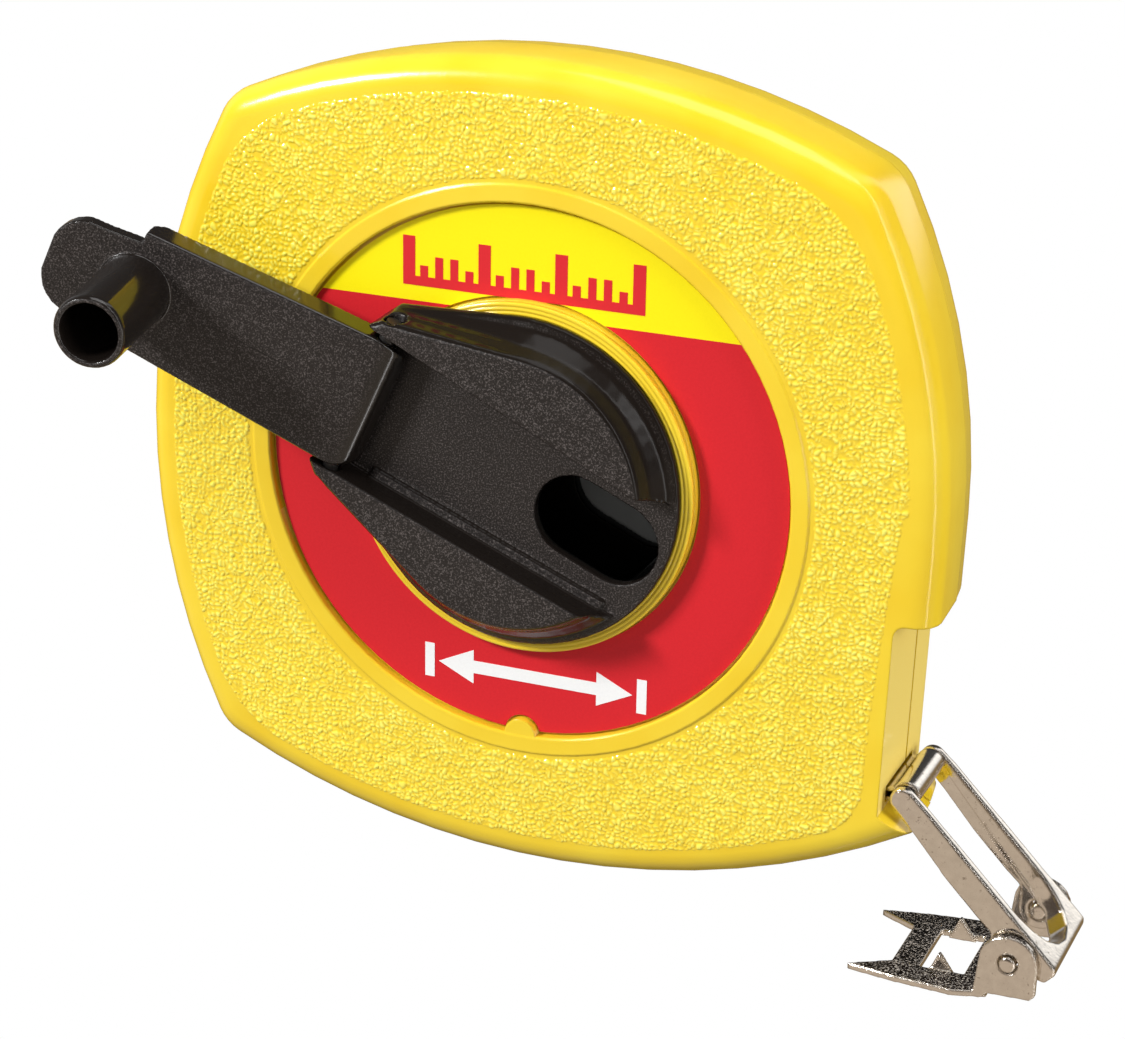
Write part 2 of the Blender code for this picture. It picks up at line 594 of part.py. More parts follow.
def claw(material, parent):
    """Forked plate with a window, two teeth and two ears: x along the plate, z away from the rivet."""
    near, far = CLAW_PLATE_DROP, CLAW_PLATE_DROP + CLAW_THICKNESS
    half = [(2.6 * MM, 8.4 * MM), (4.0 * MM, EAR_INNER_Y + CLAW_THICKNESS), (6.6 * MM, 9.6 * MM), (14.5 * MM, 8.8 * MM),
            (20.7 * MM, 7.7 * MM), (15.6 * MM, 4.9 * MM)]
    outline = half + [(x, -y) for x, y in reversed(half)]
    body = add_object("claw", prism_mesh("claw", outline, near, far, "Z"), PARTS, material, parent)
    window = [(6.3 * MM, -5.2 * MM), (12.0 * MM, -5.2 * MM), (12.0 * MM, 5.2 * MM), (6.3 * MM, 5.2 * MM)]
    cutter = add_object("claw_window", prism_mesh("claw_window", window, near - 1 * MM, far + 1 * MM, "Z"), CUTTERS, None, parent)
    cut(body, as_cutter(cutter))
    for side, label in ((-1, "near"), (1, "far")):
        ear = [(4.4 * MM, far), (3.4 * MM, far), (2.4 * MM, EAR_DROP), (-2.9 * MM, EAR_DROP), (-3.5 * MM, EAR_DROP - 0.6 * MM)]
        ear += [(EAR_RADIUS * math.cos(a), EAR_RADIUS * math.sin(a))
                for a in [math.radians(180 + 180 * i / 10) for i in range(11)]]
        low, high = sorted((side * EAR_INNER_Y, side * (EAR_INNER_Y + CLAW_THICKNESS)))
        join(body, as_cutter(add_object(f"ear_{label}", prism_mesh(f"ear_{label}", ear, low, high), CUTTERS, None, parent)))
        tooth = [(7.4 * MM, far - 0.1 * MM), (11.0 * MM, far - 0.1 * MM), (9.6 * MM, near - 2.2 * MM), (9.4 * MM, near - 2.2 * MM)]
        low, high = sorted((side * 4.6 * MM, side * 5.4 * MM))
        join(body, as_cutter(add_object(f"tooth_{label}", prism_mesh(f"tooth_{label}", tooth, low, high), CUTTERS, None, parent)))
    hole = cylinder_mesh("claw_hole", 1.3 * MM, -12 * MM, 12 * MM, (0, 0), 16)
    cut(body, as_cutter(add_object("claw_hole", hole, CUTTERS, None, parent)))
    return shade(body)


def claw_rivet(number, side, material, parent):
    """Short rivet through one ear and the bail's side wall, with a low head outside."""
    inner, outer = BAIL_HALF_WIDTH_TOP - BAIL_SHEET - 0.5 * MM, EAR_INNER_Y + CLAW_THICKNESS
    profile = [(0, inner), (1.0 * MM, inner), (1.0 * MM, outer + 0.3 * MM), (0.7 * MM, outer + 0.45 * MM),
               (0, outer + 0.45 * MM)]
    if side < 0:
        profile = [(radius, -y) for radius, y in profile[::-1]]
    return turned(f"claw_rivet_{number}", profile, material, 24, parent=parent)


# ---------------------------------------------------------------- crank

def lobe_outline(shrink, height_fraction):
    """Outline of the crank base in its own (s, t) plane, from the flange (0) to the lobe tops (1)."""
    tip_s = 24.0 * MM - shrink
    tip_t = 12.6 * MM - 1.0 * MM * height_fraction - shrink
    nose = 10.2 * MM
    radius = FLANGE_EDGE_RADIUS - 3.5 * MM * height_fraction - shrink
    distance = math.hypot(tip_s - 2 * MM, tip_t)
    bearing = math.degrees(math.atan2(tip_t, tip_s - 2 * MM) + math.acos(min(radius / distance, 1)))
    half = [(tip_s, 0.0), (tip_s, nose - shrink), (tip_s - 1.4 * MM, tip_t)]
    half += arc((0, 0), radius, bearing, 180, 18)
    return half + [(s, -t) for s, t in half[1:-1][::-1]]


def crank_base(material, parent):
    """Flange, two lobes either side of the arm's channel, and the boss inside the drum."""
    def ring(fraction, height, shrink=0.0):
        return [(s, LABEL_Y - height, t) for s, t in lobe_outline(shrink, fraction)]
    rings = [ring(0, 2.0 * MM), ring(0, 2.8 * MM), ring(0.35, 3.6 * MM), ring(0.75, 5.3 * MM),
             ring(1, LOBE_HEIGHT - 0.4 * MM), ring(1, LOBE_HEIGHT, 0.4 * MM)]
    body = add_object("crank_base", loft_mesh("crank_base", rings), PARTS, material, parent)
    boss = cylinder_mesh("crank_boss", BOSS_RADIUS, -19.4 * MM, BOSS_END_Y, sides=64)
    join(body, as_cutter(add_object("crank_boss", boss, CUTTERS, None, parent)))
    hollow = turned("boss_hollow", [(2.9 * MM, -18.3 * MM), (18.4 * MM, -18.3 * MM), (18.4 * MM, -6.5 * MM),
                                    (2.9 * MM, -6.5 * MM)], None, 48, parent=parent, collection=CUTTERS)
    cut(body, as_cutter(hollow))
    floor = LABEL_Y - CHANNEL_FLOOR_HEIGHT
    channel = [(27 * MM, -10.0 * MM), (27 * MM, 10.0 * MM), (-24 * MM, 8.5 * MM), (-24 * MM, -8.5 * MM)]
    channel_mesh = prism_mesh("channel", channel, -30 * MM, floor)
    cut(body, as_cutter(add_object("channel", channel_mesh, CUTTERS, None, parent)))
    slot = arc((-14.6 * MM, -0.25 * MM), 5.25 * MM, 90, 270, 12) + arc((-8.4 * MM, -0.25 * MM), 5.25 * MM, -90, 90, 12)
    relief = cylinder_mesh("hinge_relief", HINGE_RELIEF_RADIUS, -9.6 * MM, 9.6 * MM,
                           (HINGE_S, LABEL_Y - HINGE_HEIGHT), 32, "Z")
    cut(body, as_cutter(add_object("hinge_relief", relief, CUTTERS, None, parent)))
    ledge = [(17.0 * MM, 10.6 * MM), (17.0 * MM, 8.5 * MM), (-16.5 * MM, 7.4 * MM), (-16.5 * MM, 9.4 * MM)]
    ledge_mesh = prism_mesh("ledge", ledge, floor - 0.55 * MM, floor + 0.5 * MM)
    join(body, as_cutter(add_object("ledge", ledge_mesh, CUTTERS, None, parent)))
    slot_mesh_ = prism_mesh("knob_slot", slot, -30 * MM, 0.0)
    cut(body, as_cutter(add_object("knob_slot", slot_mesh_, CUTTERS, None, parent)))
    pin = cylinder_mesh("pin_bore", HINGE_PIN_RADIUS + GAP, -20 * MM, 20 * MM, (HINGE_S, LABEL_Y - HINGE_HEIGHT), 16, "Z")
    cut(body, as_cutter(add_object("pin_bore", pin, CUTTERS, None, parent)))
    pilot = cylinder_mesh("screw_pilot", 1.3 * MM + GAP, -11.0 * MM, 0, sides=16)
    cut(body, as_cutter(add_object("screw_pilot", pilot, CUTTERS, None, parent)))
    return shade(body)


def arm_section(x, half, front, back):
    """One cross-section of the arm: half its width, and its front and back along y."""
    edge = 0.3 * MM
    return [(x, front, half - edge), (x, front + edge, half), (x, back, half), (x, back, -half),
            (x, front + edge, -half), (x, front, -half + edge)]


def crank_arm(material, parent):
    """Arm with its origin on the hinge: x along the arm, -y its outer face, z along the hinge."""
    stations = [(-2.75, 6.7, -1.0, 0.4), (-2.6, 7.4, -1.45, 1.2), (-2.2, 8.1, -1.8, 1.7), (-1.4, 8.7, -1.9, 1.95),
                (-0.2, 9.1, -1.9, 2.0), (1.0, 9.2, -1.9, 2.0), (30.6, 7.9, -1.9, 2.0), (31.8, 7.85, -1.9, 0.8)]
    mesh = loft_mesh("crank_arm", [arm_section(*(value * MM for value in station)) for station in stations])
    body = add_object("crank_arm", mesh, PARTS, material, parent)
    tab = [(28 * MM, -6.8 * MM), (33.5 * MM, -6.1 * MM), (36.5 * MM, -5.7 * MM)]
    tab += arc((37.6 * MM, -0.9 * MM), 4.8 * MM, -75, -10, 5) + arc((37.6 * MM, 2.4 * MM), 4.8 * MM, 10, 80, 5)
    tab += [(33.5 * MM, 7.3 * MM), (28 * MM, 7.3 * MM)]
    tab_mesh = prism_mesh("arm_tab", tab, -ARM_FACE + 0.02 * MM, 0.0)
    join(body, as_cutter(add_object("arm_tab", tab_mesh, CUTTERS, None, parent)))
    tip = -ARM_FACE - KNOB_LENGTH
    profile = [(0, -1 * MM), (KNOB_RADIUS + 0.1 * MM, -1 * MM), (KNOB_RADIUS, -6 * MM), (KNOB_RADIUS, tip + 0.5 * MM),
               (KNOB_RADIUS - 0.35 * MM, tip), (KNOB_BORE_RADIUS + 0.2 * MM, tip), (KNOB_BORE_RADIUS, tip + 0.4 * MM),
               (KNOB_BORE_RADIUS, -3.4 * MM), (0, -3.4 * MM)]
    knob = turned("knob_tube", profile, None, 40, parent, CUTTERS, (KNOB_REACH, 0))
    join(body, as_cutter(knob))
    pocket = [(4.5 * MM, -7.4 * MM), (28 * MM, -6.4 * MM), (28 * MM, 6.4 * MM), (4.5 * MM, 7.4 * MM)]
    pocket_mesh = prism_mesh("arm_pocket", pocket, -0.4 * MM, 5 * MM)
    cut(body, as_cutter(add_object("arm_pocket", pocket_mesh, CUTTERS, None, parent)))
    hole = cylinder_mesh("arm_bore", HINGE_PIN_RADIUS + GAP, -20 * MM, 20 * MM, (0, 0), 16, "Z")
    cut(body, as_cutter(add_object("arm_bore", hole, CUTTERS, None, parent)))
    return shade(body)


def hinge_pin(material, parent):
    mesh = cylinder_mesh("crank_hinge_pin", HINGE_PIN_RADIUS, -11.6 * MM, 11.6 * MM,
                         (HINGE_S, LABEL_Y - HINGE_HEIGHT), 16, "Z")
    return shade(add_object("crank_hinge_pin", mesh, PARTS, material, parent))


# ---------------------------------------------------------------- assembly

def build():
    yellow = make_material("yellow_plastic", (0.95, 0.68, 0.02), 0.35)
    black = make_material("black_plastic", (0.025, 0.022, 0.02), 0.45)
    print_red = make_material("label_print", (0.75, 0.03, 0.03), 0.4)
    nickel = make_material("nickel_steel", (0.75, 0.72, 0.68), 0.2, 1.0)
    zinc = make_material("zinc_steel", (0.62, 0.62, 0.60), 0.35, 1.0)
    blade_paint = make_material("blade_enamel", (0.92, 0.70, 0.10), 0.3)
    drum_plastic = make_material("drum_plastic", (0.55, 0.55, 0.53), 0.5)
    fibre = make_material("fibre", (0.35, 0.20, 0.10), 0.8)

    recess, mouth = recess_cutter(), mouth_cutter()
    front_cover(yellow, recess, mouth)
    rear_cover(yellow, recess, mouth)
    label_disc(print_red)
    slot = slot_mesh()
    for number, place in enumerate(SCREW_PLACES, 1):
        case_screw(number, place, zinc, slot)
    thrust_washer("front_washer", 22.0 * MM, 30.0 * MM, -15.45 * MM, -15.1 * MM, fibre)
    thrust_washer("rear_washer", 9.0 * MM, 15.0 * MM, -2.8 * MM, -2.3 * MM, fibre)

    crank_axis = add_empty("crank_axis", rotation=(0, -ARM_ANGLE, 0))
    crank_base(black, crank_axis)
    hinge_pin(zinc, crank_axis)
    hinge = add_empty("crank_hinge", (HINGE_S, LABEL_Y - HINGE_HEIGHT, 0), (0, 0, -ARM_TILT), crank_axis)
    crank_arm(black, hinge)
    drum(drum_plastic)
    drum_screw(zinc)
    tape_coil(blade_paint)

    tape_blade(blade_paint)
    blade_end = clip_axis()
    end_clip(nickel, blade_end)
    for number in (1, 2):
        clip_rivet(number, zinc, blade_end)

    hook_pivot = add_empty("hook_pivot", (BARREL_X, BLADE_MID_Y, BARREL_Z), (0, BAIL_ANGLE, 0))
    bail(nickel, hook_pivot)
    claw_pivot = add_empty("claw_pivot", (RIVET_S, 0, RIVET_N), (0, -CLAW_ANGLE - BAIL_ANGLE, 0), hook_pivot)
    claw(nickel, claw_pivot)
    claw_rivet(1, -1, nickel, claw_pivot)
    claw_rivet(2, 1, nickel, claw_pivot)


clear_scene()
PARTS = new_collection("surveyor_tape_reel")
CUTTERS = new_collection("cutters")
build()
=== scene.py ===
"""Looks for the surveyor tape reel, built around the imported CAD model.

Frame: metres, +X right of the front face, +Z up, +Y from the front face to the back.
The origin is on the crank axis at the back face of the case.
"""
import json
import math

import bmesh
import bpy
import numpy as np
from mathutils import Matrix, Vector


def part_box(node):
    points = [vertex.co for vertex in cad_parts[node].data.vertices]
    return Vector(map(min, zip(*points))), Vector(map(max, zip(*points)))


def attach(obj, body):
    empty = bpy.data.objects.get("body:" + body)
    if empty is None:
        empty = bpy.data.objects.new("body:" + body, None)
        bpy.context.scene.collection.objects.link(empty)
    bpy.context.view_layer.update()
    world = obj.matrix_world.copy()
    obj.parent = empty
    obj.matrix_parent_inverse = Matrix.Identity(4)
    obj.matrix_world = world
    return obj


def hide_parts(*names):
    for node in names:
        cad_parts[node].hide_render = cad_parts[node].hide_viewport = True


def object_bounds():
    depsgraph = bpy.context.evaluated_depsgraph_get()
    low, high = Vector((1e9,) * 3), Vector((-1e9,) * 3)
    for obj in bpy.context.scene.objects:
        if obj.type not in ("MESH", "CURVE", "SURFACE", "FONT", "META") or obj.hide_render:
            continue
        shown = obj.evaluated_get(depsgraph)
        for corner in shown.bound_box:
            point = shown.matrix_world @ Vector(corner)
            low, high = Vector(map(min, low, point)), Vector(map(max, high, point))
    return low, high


MM = 0.001

# Camera: where it looks from, its roll and its distance from the middle of the label
CAMERA_AZIMUTH, CAMERA_ELEVATION, CAMERA_ROLL = 21.2147, 21.5772, -2.6742
CAMERA_DISTANCE = 393.331 * MM
CAMERA_ASIDE, CAMERA_RAISED = 4.6131 * MM, -5.3959 * MM
CAMERA_AIM = (0.0, -17.0 * MM, 0.0)
CAMERA_LENS, CAMERA_SENSOR = 102.458, 36.0
CAMERA_CLIP = (0.01, 20.0)

# Studio
AMBIENT_LEVEL = 0.52                  # light that reaches matt surfaces from all round
MIRROR_LEVEL = 1.25                   # brightness of what glossy surfaces mirror
FLOOR_REACH = 3.0
LAMPS = [                             # name, place, size, watts, whether glossy surfaces mirror it
    ("key", (-0.85, -0.78, 0.66), (0.28, 0.22), 19.0, True),
    ("fill", (1.15, -0.20, 0.30), (0.5, 0.8), 9.5, False),
    ("top", (0.05, -0.1, 1.0), (0.6, 0.6), 2.6, True),
    ("rear", (-0.45, 1.25, 0.55), (0.9, 0.7), 14.0, False),
]

# Case outline, as in the CAD: four bulging sides with rounded corners
CASE_CENTRE = (0.4 * MM, -0.5 * MM)
CASE_HALF_WIDTH, CASE_HALF_HEIGHT = 52.8 * MM, 52.2 * MM
RIGHT_ARC_RADIUS, LEFT_ARC_RADIUS, TOP_ARC_RADIUS = 86.0 * MM, 91.0 * MM, 98.0 * MM

# Grained panels
GRID_REACH = 52.5 * MM
FRONT_GRAIN_STEP = 0.165 * MM
REAR_GRAIN_STEP = 0.30 * MM
FRONT_PANEL_Y = -17.8 * MM
REAR_PANEL_Y = 0.0
GRAIN_INSET = 3.9 * MM
GRAIN_CORNER_RADIUS = 4.2 * MM
GRAIN_INNER_RADIUS = 37.35 * MM
GRAIN_HEIGHT = 0.31 * MM
GRAIN_BASE = -0.06 * MM               # panel level under the grain
EDGE_REACH, EDGE_DIP = 0.45 * MM, 0.30 * MM    # how the grain sinks into the smooth border
PANEL_EDGE_X = 46.3 * MM              # border beside the blade's mouth
PANEL_EDGE_BEND = 2.3 * MM            # how far it swings out to the case's bulging side
PANEL_EDGE_LOW_Z, PANEL_EDGE_TOP_Z = -36.0 * MM, 3.8 * MM    # where the swing starts and ends
SCREW_CLEARANCE = 1.1 * MM            # smooth rim round a screw's hole

# Pattern of the grain: pebbles, their warp and two layers of noise, as (cell size, share of the height, seed)
PEBBLES = (0.66 * MM, 0.76, 5)
BREAKS = (0.5 * MM, 0.16, 6)
SWELL = (2.6 * MM, 0.08, 7)
WARP_REACH, WARP_CELL, WARP_SEEDS = 0.30 * MM, 0.9 * MM, (3, 4)

# The matt recess above the blade's mouth
RECESS_FLOOR_X, RECESS_TOP_Z = 48.6 * MM, -10.4 * MM

# Label
LABEL_Y = -17.0 * MM
LABEL_TURN = math.radians(1.7)        # the label sits slightly turned on the case
LABEL_SPLIT_Z = 20.55 * MM            # height of the line between its two colours
PRINT_BURIED, PRINT_RAISED = 0.02 * MM, 0.05 * MM
SCALE_LEFT, SCALE_RIGHT, SCALE_BASE, SCALE_TALL, SCALE_TICKS = -15.6 * MM, 14.4 * MM, 23.7 * MM, 6.2 * MM, 16
SCALE_LINE = 1.2 * MM
SPAN_LEFT, SPAN_RIGHT, SPAN_MIDDLE, SPAN_TALL = -13.4 * MM, 16.7 * MM, -26.8 * MM, 4.6 * MM
SPAN_BAR = 1.3 * MM

# Crank
ARM_ANGLE = math.radians(157.5)
ARM_FACE_Y, ARM_END_RADIUS = -24.6 * MM, 3.4 * MM
SEAM_OFFSET, SEAM_HALF_WIDTH = 0.6 * MM, 0.05 * MM
# the crank base behind this depth is painted near black as shade
BURIED_Y = -18.9 * MM                 # behind this the crank base is inside the case

# Bearing ring: its inner and outer radius, and its face with the height of the ridges on it
RING_INNER, RING_OUTER = 20.95 * MM, 22.55 * MM
RING_FACE_Y, RING_BACK_Y, RING_CROWN = -18.72 * MM, -18.2 * MM, 0.22 * MM
RING_RIDGES, RING_POINTS, RING_STEPS = 3, 24, 192
RING_SHARP_ANGLE = math.radians(50)

BLADE_MARKS_Y = -11.4 * MM            # the blade's marks are in front of this

# Grids of the rounded copies, as (size of a cell, smoothing passes)
BASE_GRID = (0.24 * MM, 3)
ARM_GRID = (0.20 * MM, 3)
BAIL_GRID = (0.12 * MM, 30)
CLAW_GRID = (0.12 * MM, 4)
SHARE_OF_FACES_KEPT = 0.4

# Smooth copies: how near points are welded, and the angle that stays a sharp edge
WELD_DISTANCE = 0.002 * MM
SHARP_ANGLE = math.radians(35)

# Inks of the label
RED = (0.72, 0.022, 0.030)
LEMON = (1.0, 0.86, 0.006)
PAPER_WHITE = (0.96, 0.96, 0.95)

# Yellow moulding: smooth, matt in the recess, and grained, with painted shade that deepens the creases
YELLOW = (0.88, 0.590, 0.018)
YELLOW_PALE = (0.92, 0.665, 0.036)
YELLOW_RECESS = (1.0, 0.76, 0.17)
# the crease colour is painted shade
YELLOW_CREASE_SHADE = (0.95, 0.67, 0.026)
YELLOW_GRAIN = (0.99, 0.95, 0.13)
YELLOW_GRAIN_PALE = (1.0, 1.0, 0.19)

# Nickel plating
NICKEL_DULL, NICKEL_BRIGHT, NICKEL_SPOT = (0.66, 0.61, 0.55), (0.88, 0.83, 0.76), (0.40, 0.35, 0.30)
# upper face of the claw: a painted dark reflection, and pale specks as painted glints
ETCH_PAINTED_DARK_REFLECTION, ETCH_PAINTED_GLINT = (0.040, 0.030, 0.025), (0.50, 0.45, 0.40)

# Black moulding
BLACK_DEEP, BLACK_WORN = (0.0080, 0.0062, 0.0056), (0.0140, 0.0108, 0.0098)
BLACK_WALL, BLACK_SPECK = (0.010, 0.0075, 0.0062), (0.115, 0.098, 0.092)
# the last colour is painted shade on the part of the crank base inside the case
BLACK_SEAM, BURIED_PAINTED_SHADE = (0.003, 0.002, 0.002), (0.0015, 0.0015, 0.0015)

# The studio: brightness above the horizon in reflections against the direction's x, brightness of the
# surroundings for matt surfaces against its z, and the tints of the ground and the room
SKY_ABOVE = [(-1.0, 0.45), (-0.5, 0.06), (-0.15, 0.04), (0.22, 0.06), (0.29, 1.1), (0.45, 1.1),
             (0.54, 0.10), (1.0, 0.12)]
AMBIENT_BY_HEIGHT = [(-1.0, 0.52), (0.0, 0.60), (0.6, 1.0)]
GROUND_TINT = (0.46, 0.385, 0.31)
GROUND_BEHIND_TINT = (0.20, 0.14, 0.07)
ROOM_TINT = (0.07, 0.055, 0.045)      # the dark room in front of the object, above the horizon
SIDE_STRIP_AZIMUTH, SIDE_STRIP_WIDTH, SIDE_STRIP_LEVEL = -20.0, 4.5, 5.0


# ---------------------------------------------------------------- materials

class Nodes:
    """Short calls for building one material's node tree."""

    def __init__(self, name):
        self.material = bpy.data.materials.new(name)
        self.material.use_nodes = True
        self.tree = self.material.node_tree
        self.shader = self.tree.nodes["Principled BSDF"]
        self.coords = self.add("ShaderNodeTexCoord").outputs["Object"]

    def add(self, kind, settings=None, **inputs):
        node = self.tree.nodes.new(kind)
        for key, value in (settings or {}).items():
            setattr(node, key, value)
        for key, value in inputs.items():
            self.set(node, key.replace("_", " "), value)
        return node

    def set(self, node, socket, value):
        target = node.inputs[socket]
        if isinstance(value, bpy.types.NodeSocket):
            self.tree.links.new(value, target)
        elif isinstance(value, tuple) and len(target.default_value) == 4:
            target.default_value = (*value, 1.0)
        else:
            target.default_value = value

    def put(self, **inputs):
        for key, value in inputs.items():
            self.set(self.shader, key.replace("_", " "), value)

    def math(self, operation, a, b=0.0):
        node = self.add("ShaderNodeMath", {"operation": operation})
        self.set(node, 0, a)
        self.set(node, 1, b)
        return node.outputs[0]

    def noise(self, scale, detail=3.0, roughness=0.5):
        node = self.add("ShaderNodeTexNoise", None, Vector=self.coords, Scale=scale, Detail=detail,
                        Roughness=roughness)
        return node.outputs["Fac"]

    def uneven(self, base, spread, noise):
        """base + spread * noise."""
        return self.math("ADD", self.math("MULTIPLY", noise, spread), base)

    def ramp(self, value, stops):
        """Grey levels over a value, with the stops as (value, level)."""
        node = self.add("ShaderNodeValToRGB", None, Fac=value)
        while len(node.color_ramp.elements) < len(stops):
            node.color_ramp.elements.new(0.5)
        for element, (place, level) in zip(node.color_ramp.elements, stops):
            element.position = place
            element.color = (level, level, level, 1)
        return node.outputs["Color"]

    def mix(self, factor, a, b):
        node = self.add("ShaderNodeMix", {"data_type": "RGBA"})
        self.set(node, 0, factor)
        self.set(node, 6, a)
        self.set(node, 7, b)
        return node.outputs[2]

    def bumps(self, layers, edge=0.0):
        """Stacks bump layers of (height, strength, distance) over rounded edges of radius edge."""
        normal = None
        if edge:
            normal = self.add("ShaderNodeBevel", {"samples": 6}, Radius=edge).outputs[0]
        for height, strength, distance in layers:
            node = self.add("ShaderNodeBump", None, Strength=strength, Distance=distance, Height=height)
            if normal is not None:
                self.tree.links.new(normal, node.inputs["Normal"])
            normal = node.outputs[0]
        self.set(self.shader, "Normal", normal)

    def part(self, vector, index):
        return self.add("ShaderNodeSeparateXYZ", None, Vector=vector).outputs[index]

    def axis(self, index):
        """The x, y or z of a point on the object, in metres."""
        return self.part(self.coords, index)

    def facing(self, index):
        """The x, y or z of the surface's normal."""
        return self.part(self.add("ShaderNodeTexCoord").outputs["Normal"], index)


def yellow_smooth():
    """Glossy yellow moulding, matt on the floor of the recess."""
    n = Nodes("yellow_moulded")
    cloud = n.ramp(n.noise(60, 3), [(0.35, 0.0), (0.65, 1.0)])
    fine = n.noise(2600, 3, 0.6)
    in_recess = n.math("MULTIPLY", n.math("LESS_THAN", n.axis(0), RECESS_FLOOR_X),
                       n.math("LESS_THAN", n.axis(2), RECESS_TOP_Z))
    matt = n.math("MULTIPLY", n.ramp(n.facing(0), [(0.90, 0.0), (0.985, 1.0)]), in_recess)
    colour = n.mix(matt, n.mix(cloud, YELLOW, YELLOW_PALE), YELLOW_RECESS)
    n.put(Base_Color=colour, IOR=1.5, Coat_Weight=0.25, Coat_Roughness=0.07,
          Roughness=n.math("ADD", n.math("MULTIPLY", matt, 0.30), n.uneven(0.16, 0.08, fine)))
    n.bumps([(n.noise(420, 2), 0.10, 0.0002), (fine, n.math("MULTIPLY", matt, 0.5), 0.0001)], edge=0.0004)
    return n.material


def yellow_grain(name, level, outward):
    """Glossy yellow leather grain, with painted shade that deepens the colour in the creases between the
    pebbles.

    level is the y of the creases, and outward the side that the pebbles rise to (-1 or 1)."""
    n = Nodes(name)
    cloud = n.ramp(n.noise(60, 3), [(0.35, 0.0), (0.65, 1.0)])
    height = n.math("MULTIPLY", n.math("SUBTRACT", n.axis(1), level), outward / GRAIN_HEIGHT)
    # painted shade: low points of the grain take the deeper crease colour, high points the grain colour
    raised = n.ramp(height, [(0.02, 0.0), (0.30, 0.55), (0.60, 1.0)])
    colour = n.mix(raised, YELLOW_CREASE_SHADE, n.mix(cloud, YELLOW_GRAIN, YELLOW_GRAIN_PALE))
    n.put(Base_Color=colour, IOR=1.5, Coat_Weight=1.0, Coat_Roughness=0.07,
          Roughness=n.uneven(0.12, 0.12, n.noise(2600, 3, 0.6)))
    n.bumps([(n.noise(2300, 2), 0.34, 0.0001)])
    return n.material


def label_print():
    """Printed film: a red disc with a yellow segment on top."""
    n = Nodes("label_film")
    tilted = n.math("SUBTRACT", n.math("MULTIPLY", n.axis(2), math.cos(LABEL_TURN)),
                    n.math("MULTIPLY", n.axis(0), math.sin(LABEL_TURN)))
    above = n.math("GREATER_THAN", tilted, LABEL_SPLIT_Z)
    specks = n.noise(3000, 2, 0.7)
    colour = n.mix(above, n.mix(specks, (0.60, 0.014, 0.022), RED), n.mix(specks, (0.95, 0.80, 0.004), LEMON))
    n.put(Base_Color=colour, Roughness=n.uneven(0.34, 0.12, n.noise(900, 3)), Specular_IOR_Level=0.25)
    n.bumps([(n.noise(1800, 2), 0.12, 0.0001)])
    return n.material


def print_ink(name, colour):
    """One flat ink of the label, slightly uneven."""
    n = Nodes(name)
    n.put(Base_Color=n.mix(n.noise(3000, 2, 0.7), tuple(0.9 * c for c in colour), colour), Roughness=0.4,
          Specular_IOR_Level=0.3)
    n.bumps([(n.noise(1800, 2), 0.10, 0.0001)])
    return n.material


def black_plastic(name="black_moulded", seam=False):
    """Brown-black moulding: pale specks on flat faces, polished side walls, a faint seam on the arm, and
    painted shade where the base lies inside the case.
    """
    n = Nodes(name)
    flat = n.ramp(n.math("ABSOLUTE", n.facing(1)), [(0.80, 0.0), (0.93, 1.0)])
    specks = n.ramp(n.noise(4600, 2, 0.8), [(0.52, 0.0), (0.66, 1.0)])
    dusty = n.mix(specks, n.mix(n.noise(180, 4), BLACK_DEEP, BLACK_WORN), BLACK_SPECK)
    colour = n.mix(flat, BLACK_WALL, dusty)
    if seam:
        across = n.math("ADD", n.math("MULTIPLY", n.axis(0), math.sin(ARM_ANGLE)),
                        n.math("MULTIPLY", n.axis(2), -math.cos(ARM_ANGLE)))
        ragged = n.math("ADD", across, n.math("MULTIPLY", n.noise(300, 2), 0.2 * MM))
        away = n.math("ABSOLUTE", n.math("SUBTRACT", ragged, SEAM_OFFSET))
        line = n.math("LESS_THAN", away, SEAM_HALF_WIDTH)
        worn = n.math("MULTIPLY", line, n.math("GREATER_THAN", n.noise(240, 2), 0.46))
        colour = n.mix(worn, colour, BLACK_SEAM)
        wall_coat, wall_specular = 0.3, 0.5
    else:
        # painted shade: the crank base is near black where it lies inside the case
        colour = n.mix(n.math("GREATER_THAN", n.axis(1), BURIED_Y), colour, BURIED_PAINTED_SHADE)
        wall_coat, wall_specular = 0.0, 0.2
    n.put(Base_Color=colour, IOR=1.45, Coat_Roughness=0.10,
          Roughness=n.mix(flat, (0.16,) * 3, n.uneven(0.36, 0.22, n.noise(1200, 3))),
          Coat_Weight=n.mix(flat, (wall_coat,) * 3, (0.0,) * 3),
          Specular_IOR_Level=n.mix(flat, (wall_specular,) * 3, (0.45,) * 3))
    n.bumps([(n.math("MULTIPLY", n.noise(3200, 3, 0.7), flat), 0.6, 0.00012)])
    return n.material


